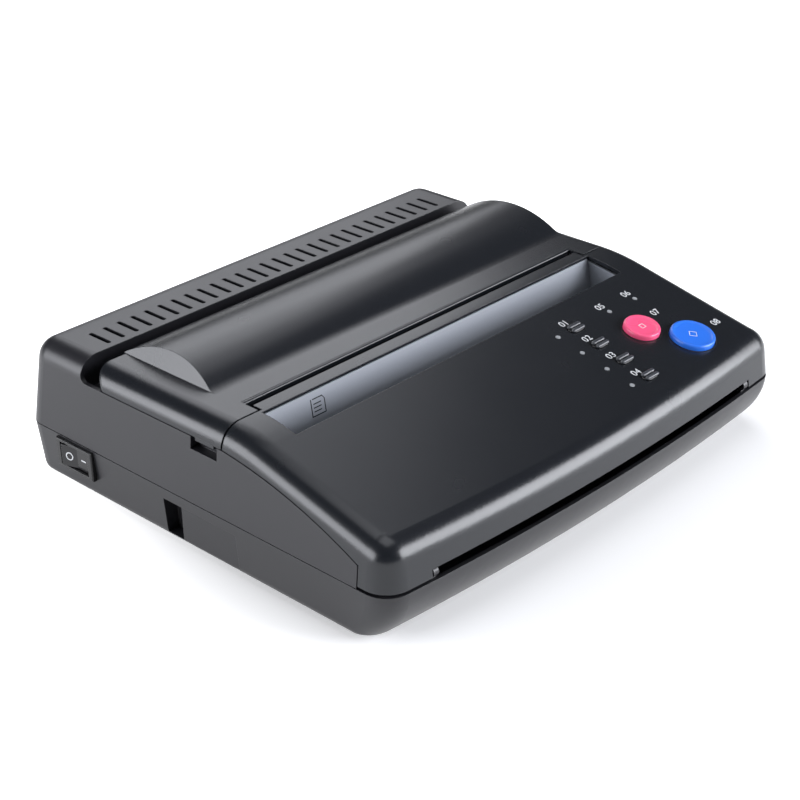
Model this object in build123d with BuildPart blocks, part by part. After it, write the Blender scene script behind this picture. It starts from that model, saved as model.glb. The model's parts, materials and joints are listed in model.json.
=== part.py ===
from build123d import *
from math import atan2, cos, degrees, hypot, pi, radians, sin, sqrt, tan
import os

os.makedirs("parts", exist_ok=True)

# Thermal stencil copier, millimetres. X is the width, -Y the front, +Z up. Lengths along Y are given
# from a datum line near the platen; each piece is saved with the origin under the middle of the
# machine, on the surface that the feet stand on.

# ---- case ----
half_width = 136.0
front_y = -120.0
back_y = 124.0
front_bow = 6.6
foot_height = 2.0
seam_z = 28.0
deck_z = 70.2
wall = 2.2
front_corner_radius = 13.0
shoulder_radius = 11.0
side_draft = 6.4
fixed_seam_gap = 0.4
moving_seam_gap = 0.8
bottom_edge_radius = 4.5
base_side_taper = 1.8
base_front_undercut = 15.0
floor_thickness = 2.4

# ---- sloping control panel ----
slope_start_y = -12.0
slope_radius = 106.0
slope_angle = 13.3
panel_side_rear_y = -15.0
panel_side_mid = (-45.8, 54.9)
panel_side_front = (-96.5, 38.7)
panel_lid_gap = 1.0
window_side_inset = 25.5
window_rear_y = -16.5
window_front_y = -37.5
land_rear_y = -9.2
land_edge_thickness = 1.2
land_rebate = 2.6
exit_slot_side_inset = 25.0
exit_slot_reach = 14.0
exit_slot_height = 5.4
panel_pivot = (-113.0, 30.9)
panel_edge_chamfer = 0.8
panel_pin_radius = 1.2
knuckle_thickness = 3.0
knuckle_end_gap = 0.8
knuckle_radius = 2.3
knuckle_drop = 9.0
panel_lug_gap = 0.4
panel_lug_thickness = 3.0
panel_lug_radius = 2.05

# ---- hinged lid and rear ridge ----
lid_skirt_z = 60.0
lid_side_inset = 3.5
lid_seat_gap = 0.5
lid_front_y = -4.8
lid_tab_y = -13.9
lid_rear_y = 74.0
lid_jog_side_inset = 25.6
land_side_gap = 1.6
lid_rear_corner = 10.0
lid_rear_round = 3.0
lid_lip_depth = 5.0
lid_lip_thickness = 1.8
lid_lip_round = 0.9
lid_crease_y = (-3.4, -3.0)
lid_crease_depth = 0.4
bulge_left_inset = 23.0
bulge_left_slant = 4.8
bulge_right_inset = 12.6
bulge_radius = 58.5
bulge_height = 8.3
bulge_crest_y = 43.6
bulge_front_blend = 12.0
bulge_rear_round = 3.5
lid_pivot = (72.5, 60.8)
ear_radius = 3.0
ear_gap = 0.6
pin_overhang = 1.2
lug_gap = 0.8
lug_thickness = 3.0
ridge_front_y = 82.4
ridge_notch_radius = 4.0
groove_floor_z = 55.0
vent_count = 28
vent_side_inset = 25.1
vent_width = 2.3
vent_front_y = 86.0
vent_rear_y = 101.0
finger_recess_y = (-11.5, 5.5)
finger_recess_height = 5.8
finger_recess_depth = 4.4
finger_recess_skin = 3.4
grip_tab_y = (-9.0, 3.0)
grip_tab_drop = 1.8
grip_tab_inset = 3.8
grip_tab_thickness = 1.8

# ---- fixings and bought parts ----
pin_radius = 1.5
pin_clearance = 0.05
press_clearance = 0.02
screw_radius = 1.45
screw_clearance = 0.05
screw_head_radius = 2.8
screw_head_height = 2.0
boss_radius = 4.2
rear_boss_inset = (14.0, 17.0)
front_boss_side_inset = 10.0
front_boss_y = -20.0
front_boss_top_z = 40.0
foot_radius = 6.0
foot_side_inset = 24.0
foot_y = (98.0, -82.0)

# ---- drive and rollers ----
frame_side_inset = 17.0
frame_thickness = 1.5
gear_gap = 0.8
gear_width = 3.4
gear_module = 0.8
shaft_radius = 3.0
shaft_clearance = 0.04
bush_radius = 4.5
roller_end_gap = 11.0
paper_z = 31.0
platen_axis = (6.0, 53.0)
platen_radius = 7.5
platen_teeth = 24
print_idler_teeth = 34
pinion_teeth = 12
print_idler_bearing = -40.0
print_pinion_bearing = -42.0
feed_axis = (-64.5, 23.0)
feed_teeth = 24
feed_idler_teeth = 19
feed_idler_bearing = -8.0
feed_pinion_bearing = -17.0
exit_axis = (-98.0, 25.0)
exit_teeth = 18
transfer_teeth = 21
white_teeth = 14
paper_gap = 0.5
pinch_axis_z = 35.6
pinch_radius = 4.2
pinch_shaft_radius = 1.5
guide_end_gap = 7.0
sheet_thickness = 1.5
pinch_gap = 0.35
stud_radius = 2.0
print_motor_radius = 17.5
feed_motor_radius = 12.0
motor_shaft_radius = 1.5

# ---- controls ----
copy_side_inset = 40.5
copy_y = -92.0
copy_radius = 11.0
stop_side_inset = 56.5
stop_y = -74.0
stop_radius = 9.0
round_key_rise = 2.6
mode_key_side_inset = 83.0
mode_key_first_y = -55.5
mode_key_pitch = 14.5
mode_key_count = 4
mode_key_size = (9.5, 5.4)
mode_key_rise = 1.6
key_travel = 1.0
key_clearance = 0.35
stem_radius = 2.0
lamp_radius = 1.2
mode_lamp_side_inset = 96.0
status_lamp_side_insets = (58.0, 38.3)
status_lamp_y = -56.0
board_side_insets = (106.0, 24.0)
board_y = (-104.0, -48.0)
board_boss_inset = 3.5
board_boss_radius = 2.6
board_thickness = 1.6
board_depth = 9.0
tact_height = 3.4
rocker_y = 86.5
rocker_z = 19.8
rocker_bezel_size = (26.0, 15.0)
rocker_bezel_proud = 1.6
rocker_body_size = (22.4, 13.6)
rocker_cavity_size = (20.4, 11.6)
rocker_tilt = 8.0
notch_y = (14.0, 24.5)
notch_z = (4.6, 22.6)
notch_depth = 8.0
side_recess_front_y = -23.0
side_recess_depth = 0.9
inlet_side_inset = 52.0
inlet_size = (30.0, 15.0)
inlet_proud = 1.4

# ---- values that follow from those above ----
middle_y = (front_y + back_y + inlet_proud) / 2
base_z = foot_height
floor_z = base_z + floor_thickness
frame_inner_x = half_width - frame_side_inset
frame_outer_x = frame_inner_x + frame_thickness
gear_x = frame_outer_x + gear_gap
lug_x = (frame_outer_x + lug_gap, frame_outer_x + lug_gap + lug_thickness)
roller_half_length = frame_inner_x - roller_end_gap
guide_half_length = frame_inner_x - guide_end_gap
window_half_width = half_width - window_side_inset
exit_slot_half_width = half_width - exit_slot_side_inset
knuckle_end_x = exit_slot_half_width - knuckle_end_gap
knuckle_x = (knuckle_end_x - knuckle_thickness, knuckle_end_x)
panel_lug_start_x = exit_slot_half_width + panel_lug_gap
panel_lug_x = (panel_lug_start_x, panel_lug_start_x + panel_lug_thickness)
lid_half_width = half_width - lid_side_inset
lid_jog_x = half_width - lid_jog_side_inset
land_half_width = lid_jog_x - land_side_gap
bulge_x = (bulge_left_inset - half_width, half_width - bulge_right_inset)
vent_half_span = half_width - vent_side_inset
rear_boss = (half_width - rear_boss_inset[0], back_y - rear_boss_inset[1])
front_boss = (half_width - front_boss_side_inset, front_boss_y)
foot_places = [(half_width - foot_side_inset, y) for y in foot_y]
copy_place = (half_width - copy_side_inset, copy_y)
stop_place = (half_width - stop_side_inset, stop_y)
mode_key_x = half_width - mode_key_side_inset
mode_lamp_x = half_width - mode_lamp_side_inset
status_lamp_places = [(half_width - inset, status_lamp_y) for inset in status_lamp_side_insets]
inlet_x = inlet_side_inset - half_width
board_x = (half_width - board_side_insets[0], half_width - board_side_insets[1])
slope_end_y = slope_start_y - slope_radius * sin(radians(slope_angle))
slope_end_z = deck_z - slope_radius * (1 - cos(radians(slope_angle)))


def slope_z(y):
    """Height of the sloping part of the top at a distance y."""
    return slope_end_z - (slope_end_y - y) * tan(radians(slope_angle))


def top_z(y):
    """Height of the case's top along its middle at a distance y."""
    if y >= slope_start_y:
        return deck_z
    if y > slope_end_y:
        return deck_z - slope_radius + sqrt(slope_radius**2 - (slope_start_y - y) ** 2)
    return slope_z(y)


slope_top_at_land = top_z(window_rear_y)


def slope_plane(x, y, lift=0.0):
    """Plane on the sloping top at (x, y), moved along its normal by lift."""
    normal = Vector(0, -sin(radians(slope_angle)), cos(radians(slope_angle)))
    origin = Vector(x, y, slope_z(y)) + normal * lift
    return Plane(origin=origin, x_dir=(1, 0, 0), z_dir=normal)


def block(x, y, z, mode=Mode.ADD):
    """Box between a low and a high limit along each axis."""
    with Locations(((x[0] + x[1]) / 2, (y[0] + y[1]) / 2, (z[0] + z[1]) / 2)):
        Box(x[1] - x[0], y[1] - y[0], z[1] - z[0], mode=mode)


def rod(x, centre, radius, mode=Mode.ADD):
    """Cylinder along X between two limits, centred on (y, z)."""
    with Locations(((x[0] + x[1]) / 2, centre[0], centre[1])):
        Cylinder(radius, x[1] - x[0], rotation=(0, 90, 0), mode=mode)


def save(part, name):
    """Write one piece, with the machine's middle brought over the origin."""
    placed = part.moved(Location((0, -middle_y, 0)))
    placed.label = name
    export_step(placed, f"parts/{name}.step")


def case_outline(side, front, rear, front_radius, rear_radius=0.0):
    """Plan outline of the case: bowed front, straight sides and rear, rounded corners."""
    half = half_width - side
    nose = front_y + front
    with BuildSketch() as outline:
        with BuildLine():
            ThreePointArc((-half, nose + front_bow), (0, nose), (half, nose + front_bow))
            Polyline(
                (half, nose + front_bow),
                (half, back_y - rear),
                (-half, back_y - rear),
                (-half, nose + front_bow),
            )
        make_face()
        fillet(outline.vertices().group_by(Axis.Y)[0], front_radius)
        if rear_radius > 0:
            fillet(outline.vertices().group_by(Axis.Y)[-1], rear_radius)
    return outline.sketch


def side_profile(inset):
    """Side view of the upper case: level deck, arc, then the straight slope of the panel."""
    beyond = 2 * half_width
    with BuildSketch() as profile:
        with BuildLine():
            Line((beyond, deck_z - inset), (slope_start_y, deck_z - inset))
            bend = JernArc(
                start=(slope_start_y, deck_z - inset),
                tangent=(-1, 0),
                radius=slope_radius - inset,
                arc_size=slope_angle,
            )
            slope = PolarLine(bend @ 1, half_width, 180 + slope_angle)
            Polyline(slope @ 1, ((slope @ 1).X, 0), (beyond, 0), (beyond, deck_z - inset))
        make_face()
    return profile.sketch


def upper_case(inset, bottom_z=seam_z):
    """Solid within the upper case, drawn inwards by inset."""
    with BuildPart() as body:
        with BuildSketch(Plane.XY.offset(seam_z)):
            add(case_outline(inset, inset, inset, front_corner_radius - inset))
        extrude(amount=deck_z, taper=side_draft)
        with BuildSketch(Plane.YZ):
            add(side_profile(inset))
        extrude(amount=2 * half_width, both=True, mode=Mode.INTERSECT)
        top_faces = body.faces().filter_by(lambda face: face.normal_at(face.center()).Z > 0.9)
        top_edges = top_faces.edges()
        rim = [
            edge
            for edge in top_edges
            if abs(edge.center().X) > half_width / 2 or abs(edge.center().Y) > half_width / 1.7
        ]
        rear_corners = [
            edge
            for edge in body.edges()
            if edge.center().Y > back_y - shoulder_radius and abs(edge.tangent_at(0.5).Z) > 0.5
        ]
        fillet(rim + rear_corners, shoulder_radius - inset)
        split(bisect_by=Plane.XY.offset(bottom_z), keep=Keep.TOP)
    return body.part


def lower_case(inset, bottom_z):
    """Solid within the lower case: near-upright sides and a front that tucks under."""
    depth = seam_z - base_z
    with BuildPart() as body:
        for share in (0, 0.23, 0.46, 0.73, 1):
            with BuildSketch(Plane.XY.offset(seam_z - share * depth)):
                add(
                    case_outline(
                        inset + share * base_side_taper,
                        inset + base_front_undercut * share**2,
                        inset + share * base_side_taper,
                        front_corner_radius - inset,
                        shoulder_radius - inset,
                    )
                )
        loft()
        split(bisect_by=Plane.XY.offset(bottom_z), keep=Keep.TOP)
    return body.part


def side_seam(y_shift, z_shift):
    """Side view of the seam between panel and housing, as points from rear to front."""
    rear = (panel_side_rear_y + y_shift, lid_skirt_z - lid_seat_gap + z_shift)
    middle = (panel_side_mid[0] + y_shift, panel_side_mid[1] + z_shift)
    front = (panel_side_front[0] + y_shift, panel_side_front[1] + z_shift)
    return rear, middle, front


outer_case = upper_case(0)
inner_case = upper_case(wall)

# ---- base tray ----
cavity = lower_case(wall, floor_z)
with BuildPart() as base_tray:
    add(lower_case(0, base_z))
    fillet(base_tray.edges().group_by(Axis.Z)[0], bottom_edge_radius)
    add(cavity, mode=Mode.SUBTRACT)
    for side in (-1, 1):
        for place in (rear_boss, front_boss):
            with Locations((side * place[0], place[1], (floor_z + seam_z) / 2)):
                Cylinder(boss_radius, seam_z - floor_z)
    # moulded pocket in the left wall, with its own backing
    pocket_floor_x = -half_width + notch_depth
    block(
        (-half_width + wall, pocket_floor_x + wall),
        (notch_y[0] - wall, notch_y[1] + wall),
        (floor_z, notch_z[1] + wall),
    )
    block((-half_width - wall, pocket_floor_x), notch_y, notch_z, mode=Mode.SUBTRACT)
    recess_x = -half_width + base_side_taper / 2 + side_recess_depth
    block((-half_width - wall, recess_x), (side_recess_front_y, notch_y[0] + 1), notch_z, mode=Mode.SUBTRACT)
    # seats and cut-outs of the rocker switch and the mains inlet
    bezel_seat_x = -half_width + rocker_bezel_proud / 2
    bezel_y = (rocker_y - rocker_bezel_size[0] / 2, rocker_y + rocker_bezel_size[0] / 2)
    bezel_z = (rocker_z - rocker_bezel_size[1] / 2, rocker_z + rocker_bezel_size[1] / 2)
    body_y = (rocker_y - rocker_body_size[0] / 2, rocker_y + rocker_body_size[0] / 2)
    body_z = (rocker_z - rocker_body_size[1] / 2, rocker_z + rocker_body_size[1] / 2)
    block((-half_width - wall, bezel_seat_x), bezel_y, bezel_z, mode=Mode.SUBTRACT)
    block((-half_width - wall, -half_width + 3 * wall), body_y, body_z, mode=Mode.SUBTRACT)
    inlet_seat_y = back_y - base_side_taper / 2
    inlet_z = (base_z + seam_z) / 2
    inlet_span_x = (inlet_x - inlet_size[0] / 2, inlet_x + inlet_size[0] / 2)
    inlet_span_z = (inlet_z - inlet_size[1] / 2, inlet_z + inlet_size[1] / 2)
    inlet_lip = 3.0
    block(inlet_span_x, (inlet_seat_y, back_y + wall), inlet_span_z, mode=Mode.SUBTRACT)
    block(
        (inlet_span_x[0] + inlet_lip, inlet_span_x[1] - inlet_lip),
        (back_y - 3 * wall, back_y + wall),
        (inlet_span_z[0] + 1, inlet_span_z[1] - 1),
        mode=Mode.SUBTRACT,
    )
    # knuckles of the panel hinge, in the ends of the exit slot
    for side in (-1, 1):
        knuckle = sorted((side * knuckle_x[0], side * knuckle_x[1]))
        post_y = (panel_pivot[0] - 0.6, panel_pivot[0] + knuckle_radius)
        block(knuckle, post_y, (seam_z - knuckle_drop, panel_pivot[1]))
        rod(knuckle, panel_pivot, knuckle_radius)
        rod(knuckle, panel_pivot, panel_pin_radius + press_clearance, mode=Mode.SUBTRACT)
        for place in (rear_boss, front_boss):
            with Locations((side * place[0], place[1], seam_z)):
                Hole(screw_radius + screw_clearance, depth=seam_z)
            with Locations((side * place[0], place[1], base_z + screw_head_height / 2)):
                Cylinder(screw_head_radius + key_clearance, screw_head_height, mode=Mode.SUBTRACT)
save(base_tray.part, "base_tray")

# ---- upper housing: ridge, side walls and groove ----
with BuildPart() as upper_housing:
    add(outer_case)
    add(inner_case, mode=Mode.SUBTRACT)
    seam_rear, seam_middle, seam_front = side_seam(0, 0)
    with BuildSketch(Plane.YZ):
        with BuildLine():
            ThreePointArc(seam_rear, seam_middle, seam_front)
            Polyline(
                seam_front,
                (seam_front[0], 0),
                (front_y - wall, 0),
                (front_y - wall, 2 * deck_z),
                (ridge_front_y, 2 * deck_z),
                (ridge_front_y, seam_rear[1] + ridge_notch_radius),
            )
            RadiusArc(
                (ridge_front_y, seam_rear[1] + ridge_notch_radius),
                (ridge_front_y - ridge_notch_radius, seam_rear[1]),
                ridge_notch_radius,
            )
            Line((ridge_front_y - ridge_notch_radius, seam_rear[1]), seam_rear)
        make_face()
    extrude(amount=2 * half_width, both=True, mode=Mode.SUBTRACT)
    # front wall of the ridge, closed against the case
    ridge_wall_bottom = 50.0
    with BuildPart(mode=Mode.PRIVATE) as ridge_wall:
        add(inner_case)
        block(
            (-half_width, half_width),
            (ridge_front_y, ridge_front_y + wall),
            (ridge_wall_bottom, deck_z),
            mode=Mode.INTERSECT,
        )
    add(ridge_wall.part)
    vent_pitch = 2 * vent_half_span / (vent_count - 1)
    vent_length = vent_rear_y - vent_front_y
    with BuildSketch(Plane.XY.offset(deck_z + 1)):
        with Locations((0, (vent_front_y + vent_rear_y) / 2)):
            with GridLocations(vent_pitch, 1, vent_count, 1):
                SlotOverall(vent_length, vent_width, rotation=90)
    extrude(amount=-(wall + 3), mode=Mode.SUBTRACT)
    for side in (-1, 1):
        with Locations((side * rear_boss[0], rear_boss[1], (seam_z + deck_z - wall) / 2)):
            Cylinder(boss_radius, deck_z - wall - seam_z)
        with Locations((side * front_boss[0], front_boss[1], (seam_z + front_boss_top_z) / 2)):
            Cylinder(boss_radius, front_boss_top_z - seam_z)
        rib_x = sorted((side * front_boss[0], side * (half_width - wall / 2)))
        rib_y = (front_boss[1] - wall / 2, front_boss[1] + wall / 2)
        block(rib_x, rib_y, (seam_z, front_boss_top_z))
        # floor of the groove beside the stencil tray
        groove_x = sorted((side * (guide_half_length + 0.6), side * (half_width - wall)))
        groove_z = (groove_floor_z - wall, groove_floor_z)
        block(groove_x, (lid_pivot[0] + ear_radius + 0.5, ridge_front_y + wall / 2), groove_z)
        # finger recess below the lid, with its backing
        recess_z = (lid_skirt_z - lid_seat_gap - finger_recess_height, lid_skirt_z - lid_seat_gap)
        backing_x = half_width - finger_recess_skin - finger_recess_depth
        backing = sorted((side * (backing_x - 1.6), side * (backing_x + finger_recess_depth)))
        block(
            backing,
            (finger_recess_y[0] - wall, finger_recess_y[1] + wall),
            (recess_z[0] - wall, recess_z[1]),
        )
    add(outer_case, mode=Mode.INTERSECT)
    for side in (-1, 1):
        recess = sorted((side * backing_x, side * (half_width + wall)))
        block(recess, finger_recess_y, (recess_z[0], deck_z), mode=Mode.SUBTRACT)
        with Locations((side * rear_boss[0], rear_boss[1], seam_z + 10)):
            Cylinder(screw_radius + screw_clearance, 20.4, mode=Mode.SUBTRACT)
        with Locations((side * front_boss[0], front_boss[1], seam_z + 5)):
            Cylinder(screw_radius + screw_clearance, 10.4, mode=Mode.SUBTRACT)
    split(bisect_by=Plane.XY.offset(seam_z + fixed_seam_gap), keep=Keep.TOP)
save(upper_housing.part, "upper_housing")

# ---- lid cover ----
bulge_centre_z = deck_z + bulge_height - bulge_radius
blend_rise = deck_z + bulge_front_blend - bulge_centre_z
blend_reach = bulge_radius + bulge_front_blend
bulge_start_y = bulge_crest_y - sqrt(blend_reach**2 - blend_rise**2)
blend_angle = atan2(blend_rise, bulge_start_y - bulge_crest_y)
bulge_rear_y = lid_rear_y - 0.05
round_reach = bulge_radius - bulge_rear_round
round_y = bulge_rear_y - bulge_rear_round
round_angle = atan2(sqrt(round_reach**2 - (round_y - bulge_crest_y) ** 2), round_y - bulge_crest_y)


def on_bulge(angle):
    """Point of the bulge's main arc at an angle about its centre."""
    return (bulge_crest_y + bulge_radius * cos(angle), bulge_centre_z + bulge_radius * sin(angle))


with BuildPart() as lid_cover:
    add(outer_case)
    with BuildSketch(Plane.XY.offset(lid_skirt_z)) as lid_plan:
        with Locations((0, (lid_rear_y + lid_tab_y) / 2)):
            Rectangle(2 * lid_half_width, lid_rear_y - lid_tab_y)
        fillet(lid_plan.vertices().group_by(Axis.Y)[-1], lid_rear_corner)
        with Locations((0, (lid_front_y + lid_tab_y) / 2 - 1)):
            Rectangle(2 * lid_jog_x, lid_front_y - lid_tab_y + 2, mode=Mode.SUBTRACT)
    extrude(amount=deck_z, mode=Mode.INTERSECT)
    rear_faces = lid_cover.faces().filter_by(lambda face: face.normal_at(face.center()).Y > 0.3)
    rear_rim = [
        edge
        for edge in rear_faces.edges()
        if edge.center().Z > deck_z - shoulder_radius / 2 and abs(edge.tangent_at(0.5).Z) < 0.9
    ]
    fillet(rear_rim, lid_rear_round)
    with BuildSketch(Plane.YZ.offset(bulge_x[0])):
        with BuildLine():
            RadiusArc((bulge_start_y, deck_z), on_bulge(blend_angle), -bulge_front_blend)
            ThreePointArc(
                on_bulge(blend_angle), on_bulge((blend_angle + round_angle) / 2), on_bulge(round_angle)
            )
            round_centre_z = bulge_centre_z + round_reach * sin(round_angle)
            rear_round = RadiusArc(
                on_bulge(round_angle), (bulge_rear_y, round_centre_z), bulge_rear_round
            )
            Polyline(
                rear_round @ 1,
                (bulge_rear_y, lid_skirt_z + 1),
                (bulge_start_y, lid_skirt_z + 1),
                (bulge_start_y, deck_z),
            )
        make_face()
    extrude(amount=bulge_x[1] - bulge_x[0])
    # slanted left end of the bulge
    slant_rise = bulge_height + wall
    slant_reach = bulge_left_slant * slant_rise / bulge_height
    with BuildSketch(Plane.XZ.offset(-bulge_rear_y - wall)):
        Polygon(
            (bulge_x[0] - wall, deck_z),
            (bulge_x[0], deck_z),
            (bulge_x[0] + slant_reach, deck_z + slant_rise),
            (bulge_x[0] - wall, deck_z + slant_rise),
            align=None,
        )
    extrude(amount=bulge_rear_y - bulge_start_y + 2 * wall, mode=Mode.SUBTRACT)
    # hollow below the deck, then below the bulge
    with BuildPart(mode=Mode.PRIVATE) as lid_hollow:
        add(inner_case)
        with BuildSketch(Plane.XY.offset(lid_skirt_z - wall)) as hollow_plan:
            with Locations((0, (lid_rear_y - wall + lid_tab_y) / 2 - 5)):
                Rectangle(2 * (lid_half_width - wall), lid_rear_y - wall - lid_tab_y + 10)
            fillet(hollow_plan.vertices().group_by(Axis.Y)[-1], lid_rear_corner - wall)
        extrude(amount=deck_z, mode=Mode.INTERSECT)
        hollow_start_x = bulge_x[0] + bulge_left_slant + wall
        with BuildSketch(Plane.YZ.offset(hollow_start_x)):
            with Locations((bulge_crest_y, bulge_centre_z)):
                Circle(bulge_radius - wall)
            with Locations((lid_rear_y - wall - half_width, lid_skirt_z)):
                Rectangle(2 * half_width, deck_z, align=(Align.CENTER, Align.MIN), mode=Mode.INTERSECT)
        extrude(amount=bulge_x[1] - wall - hollow_start_x)
    add(lid_hollow.part, mode=Mode.SUBTRACT)
    # lip along the front edge, hinge lugs, grip tabs
    lip_y = (lid_front_y, lid_front_y + lid_lip_thickness)
    block((-lid_jog_x, lid_jog_x), lip_y, (deck_z - wall - lid_lip_depth, deck_z - wall / 2))
    front_edge = [
        edge
        for edge in lid_cover.edges().filter_by(Axis.X)
        if abs(edge.center().Y - lid_front_y) < 0.01 and edge.center().Z > deck_z - 1.5
    ]
    fillet(front_edge, lid_lip_round)
    # shallow crease behind the lip
    crease_z = (deck_z - lid_crease_depth, deck_z + wall)
    block((-lid_jog_x, lid_jog_x), lid_crease_y, crease_z, mode=Mode.SUBTRACT)
    for side in (-1, 1):
        lug = sorted((side * lug_x[0], side * lug_x[1]))
        rod(lug, lid_pivot, ear_radius)
        block(lug, (lid_pivot[0] - ear_radius, lid_pivot[0]), (lid_pivot[1], deck_z - 2 * wall))
        grip_x = half_width - grip_tab_inset
        grip = sorted((side * (grip_x - grip_tab_thickness), side * grip_x))
        block(grip, grip_tab_y, (lid_skirt_z - grip_tab_drop, lid_skirt_z + wall))
        bore = sorted((side * (frame_inner_x - pin_overhang), side * (lug_x[1] + pin_overhang)))
        rod(bore, lid_pivot, pin_radius + press_clearance, mode=Mode.SUBTRACT)
        ear_slot = sorted((side * (frame_inner_x - ear_gap), side * (frame_outer_x + ear_gap)))
        ear_slot_y = (lid_pivot[0] - 2 * ear_radius, lid_rear_y + 1)
        ear_slot_z = (lid_skirt_z - 1, lid_pivot[1] + ear_radius + 2 * ear_gap)
        block(ear_slot, ear_slot_y, ear_slot_z, mode=Mode.SUBTRACT)
save(lid_cover.part, "lid_cover")

# ---- control panel ----
pinch_axis = (exit_axis[0], pinch_axis_z)
pinch_ear_inset = 5.6
pinch_ear_thickness = 2.0
pinch_ear_start_x = frame_inner_x - pinch_ear_inset
pinch_ear_x = (pinch_ear_start_x, pinch_ear_start_x + pinch_ear_thickness)
board_bosses = [
    (x, y)
    for x in (board_x[0] + board_boss_inset, board_x[1] - board_boss_inset)
    for y in (board_y[0] + board_boss_inset, board_y[1] - board_boss_inset)
]
round_keys = ((copy_place, copy_radius), (stop_place, stop_radius))
mode_key_places = [
    (mode_key_x, mode_key_first_y - index * mode_key_pitch) for index in range(mode_key_count)
]
lamp_places = [(mode_lamp_x, place[1]) for place in mode_key_places] + list(status_lamp_places)
panel_screw_radius = 1.0

with BuildPart() as control_panel:
    add(outer_case)
    add(inner_case, mode=Mode.SUBTRACT)
    panel_rear, panel_middle, panel_front = side_seam(0, fixed_seam_gap + 0.2)
    side_front_y = panel_side_front[0] - 0.6
    with BuildSketch(Plane.YZ):
        with BuildLine():
            ThreePointArc(panel_rear, panel_middle, panel_front)
            Polyline(
                panel_front,
                (side_front_y, panel_front[1] - 0.2),
                (side_front_y, seam_z + moving_seam_gap),
                (front_y - wall, seam_z + moving_seam_gap),
                (front_y - wall, 2 * deck_z),
                (land_rear_y, 2 * deck_z),
                (land_rear_y, panel_rear[1]),
                panel_rear,
            )
        make_face()
    extrude(amount=2 * half_width, both=True, mode=Mode.INTERSECT)
    corner_edges = [
        edge
        for edge in control_panel.edges().group_by(Axis.Z)[0].filter_by(GeomType.CIRCLE)
        if edge.radius > front_corner_radius - wall / 2
    ]
    chamfer(corner_edges, panel_edge_chamfer)
    # room for the lid's tabs beside the land, the inlet window and the exit slot
    for side in (-1, 1):
        tab_room = sorted((side * land_half_width, side * (half_width + wall)))
        tab_room_z = (panel_rear[1] - wall, 2 * deck_z)
        block(tab_room, (lid_tab_y - panel_lid_gap, 0), tab_room_z, mode=Mode.SUBTRACT)
    window_x = (-window_half_width, window_half_width)
    window_y = (window_front_y, window_rear_y)
    block(window_x, window_y, (deck_z - 12, deck_z + 2), mode=Mode.SUBTRACT)
    rebate_top = slope_top_at_land - land_edge_thickness
    rebate_y = (window_rear_y - 1, window_rear_y + land_rebate)
    block(window_x, rebate_y, (deck_z - 2 * wall, rebate_top), mode=Mode.SUBTRACT)
    slot_x = (-exit_slot_half_width, exit_slot_half_width)
    slot_y = (front_y - wall, front_y + exit_slot_reach)
    block(slot_x, slot_y, (seam_z, seam_z + exit_slot_height), mode=Mode.SUBTRACT)
    for side in (-1, 1):
        # hinge lugs at the front corners and ears for the pinch roller
        lug = sorted((side * panel_lug_x[0], side * panel_lug_x[1]))
        block(lug, (panel_pivot[0] - 1, panel_pivot[0] + 1.9), (panel_pivot[1], panel_pivot[1] + 8))
        rod(lug, panel_pivot, panel_lug_radius)
        bore = sorted((side * (exit_slot_half_width - 1), side * panel_lug_x[1]))
        rod(bore, panel_pivot, panel_pin_radius + pin_clearance, mode=Mode.SUBTRACT)
        ear = sorted((side * pinch_ear_x[0], side * pinch_ear_x[1]))
        ear_top = slope_z(pinch_axis[0]) - wall - 0.5
        block(ear, (pinch_axis[0] - 3, pinch_axis[0] + 3), (pinch_axis[1] - 2.4, ear_top + 1.5))
        rod(ear, pinch_axis, pinch_shaft_radius + pin_clearance, mode=Mode.SUBTRACT)
    for x, y in board_bosses:
        with BuildSketch(slope_plane(x, y, -board_depth)):
            Circle(board_boss_radius)
        extrude(amount=board_depth - wall / 2)
        with BuildSketch(slope_plane(x, y, -board_depth)):
            Circle(panel_screw_radius + press_clearance)
        extrude(amount=board_depth - 2 * wall, mode=Mode.SUBTRACT)
    # openings for keys and lamps
    for (x, y), radius in round_keys:
        with BuildSketch(slope_plane(x, y, -2 * wall)):
            Circle(radius + key_clearance)
        extrude(amount=3 * wall, mode=Mode.SUBTRACT)
    for x, y in mode_key_places:
        with BuildSketch(slope_plane(x, y, -2 * wall)):
            SlotOverall(mode_key_size[0] + 2 * key_clearance, mode_key_size[1] + 2 * key_clearance)
        extrude(amount=3 * wall, mode=Mode.SUBTRACT)
    for x, y in lamp_places:
        with BuildSketch(slope_plane(x, y, -2 * wall)):
            Circle(lamp_radius + pin_clearance)
        extrude(amount=3 * wall, mode=Mode.SUBTRACT)
save(control_panel.part, "control_panel")

# ---- keys, lamps and the board below them ----
flange_overhang = 1.2
flange_top = -(wall + 0.3)
flange_thickness = 1.0
tact_top = -(board_depth - tact_height)
stem_end = tact_top + key_travel + 0.1


def key_stem(place, flange):
    """Retaining flange and stem below a key, square to the panel's slope."""
    with BuildPart() as stem:
        with BuildSketch(slope_plane(*place, flange_top - flange_thickness)):
            add(flange)
        extrude(amount=flange_thickness)
        with BuildSketch(slope_plane(*place, stem_end)):
            Circle(stem_radius)
        extrude(amount=flange_top - stem_end)
    return stem.part


def round_key(place, radius):
    """Round key: crowned cap, retaining flange, stem."""
    with BuildSketch() as flange:
        Circle(radius + flange_overhang)
    stem = key_stem(place, flange.sketch)
    with BuildPart() as key:
        with BuildSketch(slope_plane(*place, flange_top)):
            Circle(radius)
        extrude(amount=round_key_rise - flange_top)
        fillet(key.faces().sort_by(Axis.Z)[-1].edges(), 0.9)
        add(stem)
    return key.part


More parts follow.
